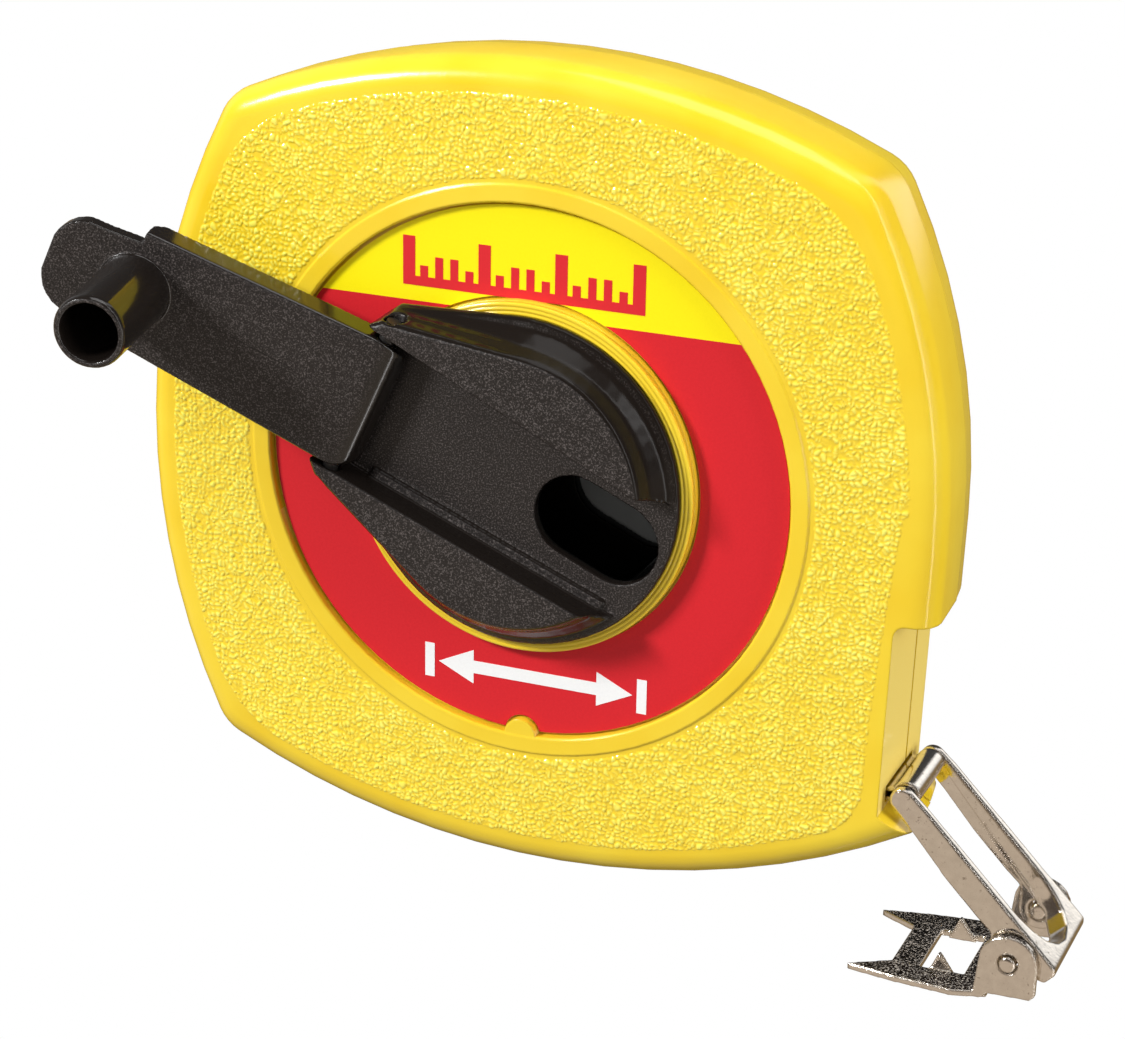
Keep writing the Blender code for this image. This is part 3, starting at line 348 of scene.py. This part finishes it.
def nickel(name, etched_painted_dark=False):
    """Nickel plating over stamped sheet. The other kind has a gritty etch on its upper face, painted dark as
    a reflection, with pale specks that stand in for glints off the grit.
    """
    n = Nodes(name)
    spots = n.ramp(n.noise(1500, 3, 0.7), [(0.62, 0.0), (0.74, 1.0)])
    colour = n.mix(spots, n.mix(n.noise(900, 4), NICKEL_DULL, NICKEL_BRIGHT), NICKEL_SPOT)
    layers = [(n.noise(380, 2), 0.10, 0.0002), (n.noise(2600, 2), 0.12, 0.0001)]
    roughness = n.uneven(0.05, 0.14, n.noise(700, 4))
    metallic = 1.0
    if etched_painted_dark:
        # gritty etch on the upper face: the bumps and extra roughness are the finish, the dark colour is a
        # painted reflection and the pale, less metallic specks are painted glints
        top = n.ramp(n.facing(2), [(0.75, 0.0), (0.92, 1.0)])
        painted_glint_specks = n.ramp(n.noise(3600, 2, 0.8), [(0.52, 0.0), (0.60, 1.0)])
        metallic = n.math("SUBTRACT", 1.0, n.math("MULTIPLY", n.math("MULTIPLY", painted_glint_specks, top), 0.7))
        colour = n.mix(top, colour, n.mix(painted_glint_specks, ETCH_PAINTED_DARK_REFLECTION, ETCH_PAINTED_GLINT))
        layers.append((n.noise(3600, 3, 0.8), n.uneven(0.15, 0.55, top), 0.00012))
        roughness = n.math("ADD", roughness, 0.08)
    n.put(Base_Color=colour, Metallic=metallic, Roughness=roughness)
    n.bumps(layers, edge=0.0006)
    return n.material


def black_oxide():
    """Blackened steel pin."""
    n = Nodes("black_oxide_steel")
    n.put(Base_Color=n.mix(n.noise(1200, 3), (0.020, 0.018, 0.017), (0.055, 0.050, 0.047)), Metallic=0.6,
          Roughness=n.uneven(0.35, 0.2, n.noise(1500, 3)))
    n.bumps([(n.noise(1500, 2), 0.2, 0.0001)])
    return n.material


def zinc():
    """Zinc-plated screws and rivets."""
    n = Nodes("zinc_plating")
    n.put(Base_Color=n.mix(n.noise(900, 3), (0.45, 0.45, 0.43), (0.62, 0.61, 0.58)), Metallic=1.0,
          Roughness=n.uneven(0.25, 0.2, n.noise(1500, 3)))
    n.bumps([(n.noise(1200, 2), 0.15, 0.0001)], edge=0.00015)
    return n.material


def drum_plastic():
    """Plain grey moulding of the drum."""
    n = Nodes("drum_moulding")
    n.put(Base_Color=n.mix(n.noise(200, 3), (0.40, 0.40, 0.38), (0.50, 0.50, 0.48)), Roughness=0.5)
    n.bumps([(n.noise(1500, 2), 0.2, 0.0001)], edge=0.0003)
    return n.material


def fibre():
    """Brown fibre washers."""
    n = Nodes("fibre_sheet")
    n.put(Base_Color=n.mix(n.noise(1400, 4), (0.16, 0.07, 0.03), (0.30, 0.15, 0.06)), Roughness=0.85)
    n.bumps([(n.noise(2500, 3), 0.4, 0.0001)])
    return n.material


def coil_windings():
    """Edges of the wound blade: fine rings round the axis."""
    n = Nodes("coil_windings")
    rings = n.add("ShaderNodeTexWave", {"wave_type": "RINGS", "rings_direction": "Y"}, Vector=n.coords,
                  Scale=620.0, Distortion=0.6, Detail=1.0).outputs["Fac"]
    n.put(Base_Color=n.mix(rings, (0.30, 0.20, 0.03), (0.85, 0.58, 0.06)), Roughness=0.38)
    n.bumps([(rings, 0.5, 0.0001)])
    return n.material


def blade_enamel():
    """Yellow enamelled strip with black millimetre marks along one edge."""
    n = Nodes("blade_enamel")
    phase = n.math("FRACT", n.math("MULTIPLY", n.axis(0), 1 / MM))
    mark = n.math("MULTIPLY", n.math("LESS_THAN", phase, 0.22), n.math("LESS_THAN", n.axis(1), BLADE_MARKS_Y))
    n.put(Base_Color=n.mix(mark, (0.90, 0.62, 0.05), (0.02, 0.02, 0.02)), Roughness=0.25, Coat_Weight=0.4)
    n.bumps([(n.noise(900, 2), 0.08, 0.0001)])
    return n.material


# ---------------------------------------------------------------- helpers

def add_piece(name, mesh, material, body, smooth=True):
    """Puts a mesh in the scene, riding on a body."""
    obj = bpy.data.objects.new(name, mesh)
    bpy.context.scene.collection.objects.link(obj)
    mesh.materials.append(material)
    if smooth:
        mesh.shade_smooth()
    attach(obj, body)
    return obj


def ease(share):
    """Smooth step of a share from 0 to 1."""
    return share * share * (3 - 2 * share)


# ---------------------------------------------------------------- grained panels

def panel_depth(x, z):
    """How far points lie inside the grained panel's border, in metres, negative outside it."""
    cx, cz = CASE_CENTRE
    w, h = CASE_HALF_WIDTH, CASE_HALF_HEIGHT
    sides = [((cx + w - RIGHT_ARC_RADIUS, cz), RIGHT_ARC_RADIUS),
             ((cx - w + LEFT_ARC_RADIUS, cz), LEFT_ARC_RADIUS),
             ((cx, cz + h - TOP_ARC_RADIUS), TOP_ARC_RADIUS),
             ((cx, cz - h + TOP_ARC_RADIUS), TOP_ARC_RADIUS)]
    insets = [radius - GRAIN_INSET - np.hypot(x - centre[0], z - centre[1]) for centre, radius in sides]
    swing = np.clip((z - PANEL_EDGE_LOW_Z) / (PANEL_EDGE_TOP_Z - PANEL_EDGE_LOW_Z), 0, 1)
    beside_mouth = PANEL_EDGE_X + PANEL_EDGE_BEND * swing ** 2 - x
    across = np.minimum(np.where(z < PANEL_EDGE_TOP_Z, beside_mouth, insets[0]), insets[1])
    upright = np.minimum(insets[2], insets[3])
    r = GRAIN_CORNER_RADIUS
    corner = r - np.hypot(np.maximum(r - across, 0), np.maximum(r - upright, 0))
    box = np.where((across < r) & (upright < r), corner, np.minimum(across, upright))
    return np.minimum(box, np.hypot(x, z) - GRAIN_INNER_RADIUS)


def lattice_noise(x, z, cell, seed):
    """Smooth value noise on a square lattice, from -1 to 1."""
    values = np.random.default_rng(seed).uniform(-1, 1, (256, 256))
    u, v = x / cell + 4096, z / cell + 4096
    iu, iv = np.floor(u).astype(int), np.floor(v).astype(int)
    fu, fv = ease(u - iu), ease(v - iv)
    a, b = values[iu % 256, iv % 256], values[(iu + 1) % 256, iv % 256]
    c, d = values[iu % 256, (iv + 1) % 256], values[(iu + 1) % 256, (iv + 1) % 256]
    return (a * (1 - fu) + b * fu) * (1 - fv) + (c * (1 - fu) + d * fu) * fv


def pebbles(x, z, cell, seed):
    """Cellular pattern: 0 in the creases between pebbles, rising to 1 on them."""
    rng = np.random.default_rng(seed)
    jitter = rng.uniform(0.08, 0.92, (128, 128, 2))
    u, v = x / cell + 2048, z / cell + 2048
    iu, iv = np.floor(u).astype(int), np.floor(v).astype(int)
    first = np.full(u.shape, 9.0)
    second = np.full(u.shape, 9.0)
    for du in (-1, 0, 1):
        for dv in (-1, 0, 1):
            cu, cv = iu + du, iv + dv
            spot = jitter[cu % 128, cv % 128]
            distance = np.hypot(cu + spot[..., 0] - u, cv + spot[..., 1] - v)
            second = np.minimum(second, np.maximum(first, distance))
            first = np.minimum(first, distance)
    return np.clip((second - first) / 0.55, 0, 1) ** 0.6


def grain_height(x, z):
    """Leather grain: pebbles about two thirds of a millimetre across, warped and broken up by noise."""
    warp_x = x + WARP_REACH * lattice_noise(x, z, WARP_CELL, WARP_SEEDS[0])
    warp_z = z + WARP_REACH * lattice_noise(x, z, WARP_CELL, WARP_SEEDS[1])
    layers = ((pebbles, warp_x, warp_z, PEBBLES), (lattice_noise, warp_x, warp_z, BREAKS),
              (lattice_noise, x, z, SWELL))
    return sum(share * pattern(u, v, cell, seed) for pattern, u, v, (cell, share, seed) in layers)


def grain_panel(name, surface_y, outward, step, material, screws=()):
    """Grid over the panel, cut to its border, with the grain as real height along outward (-1 or 1).

    The panel stays open over the named screws."""
    line = -GRID_REACH + step * np.arange(int(2 * GRID_REACH / step) + 1)
    x, z = np.meshgrid(line, line, indexing="ij")
    depth = panel_depth(x, z)
    for low, high in map(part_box, screws):
        radius = (high[0] - low[0]) / 2 + SCREW_CLEARANCE
        depth = np.minimum(depth, np.hypot(x - (low[0] + high[0]) / 2, z - (low[2] + high[2]) / 2) - radius)
    inside = depth > -EDGE_REACH
    rise = ease(np.clip((depth + EDGE_REACH) / (2 * EDGE_REACH), 0, 1))
    height = -EDGE_DIP + rise * (EDGE_DIP + GRAIN_BASE + GRAIN_HEIGHT * grain_height(x, z))
    index = -np.ones(x.shape, int)
    index[inside] = np.arange(inside.sum())
    verts = np.stack([x[inside], surface_y + outward * height[inside], z[inside]], 1)
    a, b, c, d = index[:-1, :-1], index[1:, :-1], index[1:, 1:], index[:-1, 1:]
    whole = (a >= 0) & (b >= 0) & (c >= 0) & (d >= 0)
    faces = np.stack([a[whole], b[whole], c[whole], d[whole]], 1)
    if outward > 0:
        faces = faces[:, ::-1]
    mesh = bpy.data.meshes.new(name)
    mesh.from_pydata(verts.tolist(), [], faces.tolist())
    mesh.update()
    add_piece(name, mesh, material, "case")


# ---------------------------------------------------------------- rounded copies of the sharp CAD pieces

def roll_off_arm_end(mesh):
    """Rounds the arm's front face down over its hinge end, as a quarter circle."""
    along_x, along_z = math.cos(ARM_ANGLE), math.sin(ARM_ANGLE)
    end = min(v.co.x * along_x + v.co.z * along_z for v in mesh.vertices)
    for v in mesh.vertices:
        short = ARM_END_RADIUS - (v.co.x * along_x + v.co.z * along_z - end)
        if short > 0 and v.co.y < ARM_FACE_Y + ARM_END_RADIUS:
            drop = ARM_END_RADIUS - math.sqrt(ARM_END_RADIUS ** 2 - min(short, 0.98 * ARM_END_RADIUS) ** 2)
            share = 1 - max(v.co.y - ARM_FACE_Y, 0) / ARM_END_RADIUS
            v.co.y += drop * share


def baked(obj):
    """The object's mesh with its modifiers applied."""
    return bpy.data.meshes.new_from_object(obj.evaluated_get(bpy.context.evaluated_depsgraph_get()))


def rounded_copy(node, material, grid, reshape=None):
    """Copy of a CAD piece with soft edges: remeshed on a fine grid, smoothed and thinned out again."""
    voxel, passes = grid
    source = bpy.data.objects.new(f"{node}_source", frame["nodes"][node].data.copy())
    bpy.context.scene.collection.objects.link(source)
    remesh = source.modifiers.new("grid", "REMESH")
    remesh.mode = "VOXEL"
    remesh.voxel_size = voxel
    smooth = source.modifiers.new("soften", "SMOOTH")
    smooth.iterations = passes
    smooth.factor = 0.5
    if reshape:
        dense = baked(source)
        reshape(dense)
        source.modifiers.clear()
        source.data = dense
    source.modifiers.new("thin", "DECIMATE").ratio = SHARE_OF_FACES_KEPT
    result = baked(source)
    bpy.data.objects.remove(source)
    result.materials.clear()
    piece = add_piece(f"{node}_rounded", result, material, BODY_OF[node])
    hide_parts(node)


def smooth_copy(node, material):
    """Copy of a CAD piece, welded and shaded smooth over its round faces, sharp at its real edges."""
    bm = bmesh.new()
    bm.from_mesh(frame["nodes"][node].data)
    bmesh.ops.remove_doubles(bm, verts=bm.verts, dist=WELD_DISTANCE)
    for edge in bm.edges:
        edge.smooth = True
    mesh = bpy.data.meshes.new(f"{node}_smooth")
    bm.to_mesh(mesh)
    bm.free()
    if "custom_normal" in mesh.attributes:
        mesh.attributes.remove(mesh.attributes["custom_normal"])
    mesh.materials.clear()
    piece = add_piece(f"{node}_smooth", mesh, material, BODY_OF[node])
    mesh.set_sharp_from_angle(angle=SHARP_ANGLE)
    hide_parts(node)


# ---------------------------------------------------------------- printed motifs and the bearing ring

def on_label(u, y, v):
    """A point of the label's turned (u, v) plane at depth y."""
    return (u * math.cos(LABEL_TURN) - v * math.sin(LABEL_TURN), y,
            u * math.sin(LABEL_TURN) + v * math.cos(LABEL_TURN))


def flat_shapes(name, shapes, material):
    """Thin raised prints on the label: each shape is a convex outline in the label's (u, v) plane."""
    bm = bmesh.new()
    for outline in shapes:
        buried, raised = ([bm.verts.new(on_label(u, y, v)) for u, v in outline]
                          for y in (LABEL_Y + PRINT_BURIED, LABEL_Y - PRINT_RAISED))
        bm.faces.new(raised)
        bm.faces.new(buried[::-1])
        for i in range(len(outline)):
            k = (i + 1) % len(outline)
            bm.faces.new((buried[i], buried[k], raised[k], raised[i]))
    bmesh.ops.recalc_face_normals(bm, faces=bm.faces)
    mesh = bpy.data.meshes.new(name)
    bm.to_mesh(mesh)
    bm.free()
    add_piece(name, mesh, material, "case", smooth=False)


def bar(u0, v0, u1, v1):
    """Outline of a rectangle between two corners."""
    return [(u0, v0), (u1, v0), (u1, v1), (u0, v1)]


def ruler_motif():
    """A plain measuring scale: a base line with tick marks of three heights."""
    pitch = (SCALE_RIGHT - SCALE_LEFT) / (SCALE_TICKS - 1)
    past_end, wide, narrow = 0.8 * MM, 0.80 * MM, 0.52 * MM
    shapes = [bar(SCALE_LEFT - past_end, SCALE_BASE - SCALE_LINE, SCALE_RIGHT + past_end, SCALE_BASE)]
    for i in range(SCALE_TICKS):
        height = SCALE_TALL * (1.0, 0.42, 0.62, 0.62, 0.42)[i % 5]
        half = narrow if i % 5 else wide
        u = SCALE_LEFT + i * pitch
        shapes.append(bar(u - half, SCALE_BASE, u + half, SCALE_BASE - SCALE_LINE + height))
    return shapes


def span_motif():
    """A double-headed dimension arrow between two end bars."""
    head, thick, gap = 4.8 * MM, 0.85 * MM, 1.9 * MM
    low, high = SPAN_MIDDLE - SPAN_TALL / 2, SPAN_MIDDLE + SPAN_TALL / 2
    shapes = [bar(SPAN_LEFT, low, SPAN_LEFT + SPAN_BAR, high),
              bar(SPAN_RIGHT - SPAN_BAR, low, SPAN_RIGHT, high),
              bar(SPAN_LEFT + gap + head, SPAN_MIDDLE - thick, SPAN_RIGHT - gap - head, SPAN_MIDDLE + thick)]
    for tip, away in ((SPAN_LEFT + gap, head), (SPAN_RIGHT - gap, -head)):
        shapes.append([(tip, SPAN_MIDDLE), (tip + away, low), (tip + away, high)])
    return shapes


def bearing_profile():
    """Front face of the bearing ring as (radius, y), with fine ridges."""
    points = []
    for i in range(RING_POINTS + 1):
        share = i / RING_POINTS
        ridge = abs(math.sin(RING_RIDGES * math.pi * share)) ** 0.8
        points.append((RING_INNER + (RING_OUTER - RING_INNER) * share,
                       RING_FACE_Y - RING_CROWN * ridge * (1 - 0.5 * share)))
    return points + [(RING_OUTER, RING_BACK_Y), (RING_INNER, RING_BACK_Y)]


def turned_ring(name, profile, material, body):
    """Solid of revolution round the crank axis, from a closed (radius, y) profile."""
    angles = 2 * math.pi * np.arange(RING_STEPS) / RING_STEPS
    verts = [(r * math.cos(a), y, r * math.sin(a)) for a in angles for r, y in profile]
    size = len(profile)
    faces = []
    for i in range(RING_STEPS):
        here, there = i * size, (i + 1) % RING_STEPS * size
        for j in range(size):
            k = (j + 1) % size
            faces.append((here + j, here + k, there + k, there + j))
    mesh = bpy.data.meshes.new(name)
    mesh.from_pydata(verts, [], faces)
    bm = bmesh.new()
    bm.from_mesh(mesh)
    bmesh.ops.recalc_face_normals(bm, faces=bm.faces)
    bm.to_mesh(mesh)
    bm.free()
    add_piece(name, mesh, material, body)
    mesh.set_sharp_from_angle(angle=RING_SHARP_ANGLE)


# ---------------------------------------------------------------- camera, light and floor

def camera_axes():
    """The camera's right, up and backward directions."""
    azimuth, elevation, roll = (math.radians(a) for a in (CAMERA_AZIMUTH, CAMERA_ELEVATION, CAMERA_ROLL))
    level = math.cos(elevation)
    back = Vector((math.sin(azimuth) * level, -math.cos(azimuth) * level, math.sin(elevation)))
    right = Vector((math.cos(azimuth), math.sin(azimuth), 0.0))
    up = back.cross(right)
    return math.cos(roll) * right - math.sin(roll) * up, math.sin(roll) * right + math.cos(roll) * up, back


def add_camera():
    """The scene's camera, at the set viewing angle."""
    right, up, back = camera_axes()
    place = Vector(CAMERA_AIM) + back * CAMERA_DISTANCE + right * CAMERA_ASIDE + up * CAMERA_RAISED
    data = bpy.data.cameras.new("camera")
    data.lens, data.sensor_width = CAMERA_LENS, CAMERA_SENSOR
    data.clip_start, data.clip_end = CAMERA_CLIP
    camera = bpy.data.objects.new("camera", data)
    bpy.context.scene.collection.objects.link(camera)
    camera.matrix_world = Matrix.Translation(place) @ Matrix((right, up, back)).transposed().to_4x4()
    bpy.context.scene.camera = camera


def add_softbox(name, place, size, power, mirrored):
    """Rectangular lamp aimed at the origin. One that isn't mirrored adds no highlight."""
    data = bpy.data.lights.new(name, "AREA")
    data.shape = "RECTANGLE"
    data.size, data.size_y = size
    data.energy = power
    light = bpy.data.objects.new(name, data)
    bpy.context.scene.collection.objects.link(light)
    light.location = place
    light.rotation_euler = (-Vector(place)).to_track_quat("-Z", "Y").to_euler()
    light.visible_glossy = mirrored


class Sky:
    """The studio seen in reflections, as a function of direction: ramps, and soft-edged lamps."""

    def __init__(self, tree):
        self.tree = tree
        self.direction = tree.nodes.new("ShaderNodeTexCoord").outputs["Generated"]
        self.parts = self.node("ShaderNodeSeparateXYZ", self.direction).outputs

    def node(self, kind, *inputs, **settings):
        node = self.tree.nodes.new(kind)
        for key, value in settings.items():
            setattr(node, key, value)
        for socket, value in zip(node.inputs, inputs):
            if isinstance(value, bpy.types.NodeSocket):
                self.tree.links.new(value, socket)
            else:
                socket.default_value = value
        return node

    def band(self, value, start, end):
        """Rises smoothly from 0 to 1 between start and end."""
        node = self.node("ShaderNodeMapRange", value, start, end, 0.0, 1.0, interpolation_type="SMOOTHSTEP")
        return node.outputs["Result"]

    def curve(self, value, stops):
        """Piecewise ramp over -1..1, with the stops as (value, brightness)."""
        share = self.node("ShaderNodeMath", value, 0.5, 0.5, operation="MULTIPLY_ADD").outputs[0]
        node = self.node("ShaderNodeValToRGB", share)
        while len(node.color_ramp.elements) < len(stops):
            node.color_ramp.elements.new(0.5)
        for element, (place, level) in zip(node.color_ramp.elements, stops):
            element.position = (place + 1) / 2
            element.color = (level, level, level, 1)
        return node.outputs["Color"]

    def lamp(self, azimuth, width, level):
        """A tall strip lamp at azimuth degrees from +X towards +Y, width degrees wide."""
        flat = self.node("ShaderNodeVectorMath", self.direction, (1.0, 1.0, 0.0), operation="MULTIPLY")
        unit = self.node("ShaderNodeVectorMath", flat.outputs[0], operation="NORMALIZE").outputs[0]
        aim = (math.cos(math.radians(azimuth)), math.sin(math.radians(azimuth)), 0.0)
        closeness = self.node("ShaderNodeVectorMath", unit, aim, operation="DOT_PRODUCT").outputs["Value"]
        edge = math.cos(math.radians(width / 2))
        soft = 0.25 * (1 - edge)
        shape = self.band(closeness, edge - soft, edge + soft)
        return self.node("ShaderNodeMath", shape, level, operation="MULTIPLY").outputs[0]

    def mix(self, factor, a, b, blend="MIX"):
        node = self.node("ShaderNodeMix", factor, data_type="RGBA", blend_type=blend)
        for socket, value in ((6, a), (7, b)):
            if isinstance(value, bpy.types.NodeSocket):
                self.tree.links.new(value, node.inputs[socket])
            else:
                node.inputs[socket].default_value = (*value, 1.0)
        return node.outputs[2]


def add_world():
    """Soft white surroundings for matt surfaces, the studio for glossy ones, and white behind the object."""
    world = bpy.data.worlds.new("studio")
    world.use_nodes = True
    tree = world.node_tree
    sky = Sky(tree)
    x, y, z = sky.parts
    ambient = tree.nodes["Background"]
    tree.links.new(sky.curve(z, AMBIENT_BY_HEIGHT), ambient.inputs["Color"])
    ambient.inputs["Strength"].default_value = AMBIENT_LEVEL
    ground = sky.mix(sky.band(y, -0.10, 0.35), GROUND_TINT, GROUND_BEHIND_TINT)
    room = sky.mix(sky.band(y, -0.15, 0.20), ROOM_TINT, sky.curve(x, SKY_ABOVE))
    studio = sky.mix(sky.band(z, -0.06, 0.06), ground, room)
    strip = sky.lamp(SIDE_STRIP_AZIMUTH, SIDE_STRIP_WIDTH, SIDE_STRIP_LEVEL)
    reflected = sky.node("ShaderNodeBackground", sky.mix(1.0, studio, strip, "ADD"), MIRROR_LEVEL)
    backdrop = sky.node("ShaderNodeBackground", (1.0, 1.0, 1.0, 1.0), 1.0)
    path = tree.nodes.new("ShaderNodeLightPath").outputs
    shiny = sky.node("ShaderNodeMixShader", path["Is Glossy Ray"], ambient.outputs[0], reflected.outputs[0])
    seen = sky.node("ShaderNodeMixShader", path["Is Camera Ray"], shiny.outputs[0], backdrop.outputs[0])
    tree.links.new(seen.outputs[0], tree.nodes["World Output"].inputs["Surface"])
    bpy.context.scene.world = world


def add_floor(height):
    """A white floor that is only seen: it neither lights the object nor shows in it."""
    low, high = -FLOOR_REACH, FLOOR_REACH
    mesh = bpy.data.meshes.new("studio_floor")
    mesh.from_pydata([(low, low, height), (high, low, height), (high, high, height), (low, high, height)],
                     [], [(0, 1, 2, 3)])
    n = Nodes("lit_white_floor")
    n.put(Base_Color=(0.0, 0.0, 0.0), Roughness=1.0, Specular_IOR_Level=0.0, Emission_Color=(1.0, 1.0, 1.0),
          Emission_Strength=1.0)
    mesh.materials.append(n.material)
    floor = bpy.data.objects.new("studio_floor", mesh)
    bpy.context.scene.collection.objects.link(floor)
    floor.visible_glossy = floor.visible_diffuse = False


# ---------------------------------------------------------------- scene

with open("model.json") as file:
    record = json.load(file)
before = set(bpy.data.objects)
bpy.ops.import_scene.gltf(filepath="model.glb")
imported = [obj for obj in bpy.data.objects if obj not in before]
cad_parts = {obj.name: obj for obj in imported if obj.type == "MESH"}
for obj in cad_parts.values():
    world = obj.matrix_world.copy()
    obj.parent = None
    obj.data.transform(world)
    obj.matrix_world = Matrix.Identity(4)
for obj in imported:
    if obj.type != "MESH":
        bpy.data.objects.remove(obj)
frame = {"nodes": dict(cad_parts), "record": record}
cad_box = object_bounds()
BODY_OF = {node: body for body, nodes in frame["record"]["behaviour"]["bodies"].items() for node in nodes}

yellow = yellow_smooth()
front_yellow = yellow_grain("yellow_grain_front", FRONT_PANEL_Y + GRAIN_BASE, -1)
rear_yellow = yellow_grain("yellow_grain_rear", REAR_PANEL_Y, 1)
black = black_plastic()
arm_black = black_plastic("black_arm", seam=True)
plating = nickel("nickel_plating")
etched_painted_dark = nickel("nickel_etched", etched_painted_dark=True)

CASE_SCREWS = tuple(f"case_screw_{number}" for number in (1, 2, 3, 4))
FINISHES = [                          # nodes, slot and material of each smooth copy
    (("front_cover", "rear_cover"), "yellow_plastic", yellow),
    (("label_disc",), "label_print", label_print()),
    (("end_clip", "claw_rivet_1", "claw_rivet_2"), "nickel_steel", plating),
    ((*CASE_SCREWS, "drum_screw", "clip_rivet_1", "clip_rivet_2"), "zinc_steel", zinc()),
    (("crank_hinge_pin",), "zinc_steel", black_oxide()),
    (("drum",), "drum_plastic", drum_plastic()),
    (("front_washer", "rear_washer"), "fibre", fibre()),
    (("tape_coil",), "blade_enamel", coil_windings()),
    (("tape_blade",), "blade_enamel", blade_enamel()),
]
for nodes, slot, material in FINISHES:
    for node in nodes:
        smooth_copy(node, material)

grain_panel("front_grain", FRONT_PANEL_Y, -1, FRONT_GRAIN_STEP, front_yellow)
grain_panel("rear_grain", REAR_PANEL_Y, 1, REAR_GRAIN_STEP, rear_yellow, CASE_SCREWS)
rounded_copy("crank_base", black, BASE_GRID)
rounded_copy("crank_arm", arm_black, ARM_GRID, reshape=roll_off_arm_end)
rounded_copy("bail", plating, BAIL_GRID)
rounded_copy("claw", etched_painted_dark, CLAW_GRID)
turned_ring("bearing_ridges", bearing_profile(), yellow, "case")
flat_shapes("label_scale", ruler_motif(), print_ink("ink_red", RED))
flat_shapes("label_span", span_motif(), print_ink("ink_white", PAPER_WHITE))

add_camera()
add_world()
add_floor(cad_box[0][2])
for lamp in LAMPS:
    add_softbox(*lamp)

bpy.context.scene.view_settings.view_transform = "Standard"
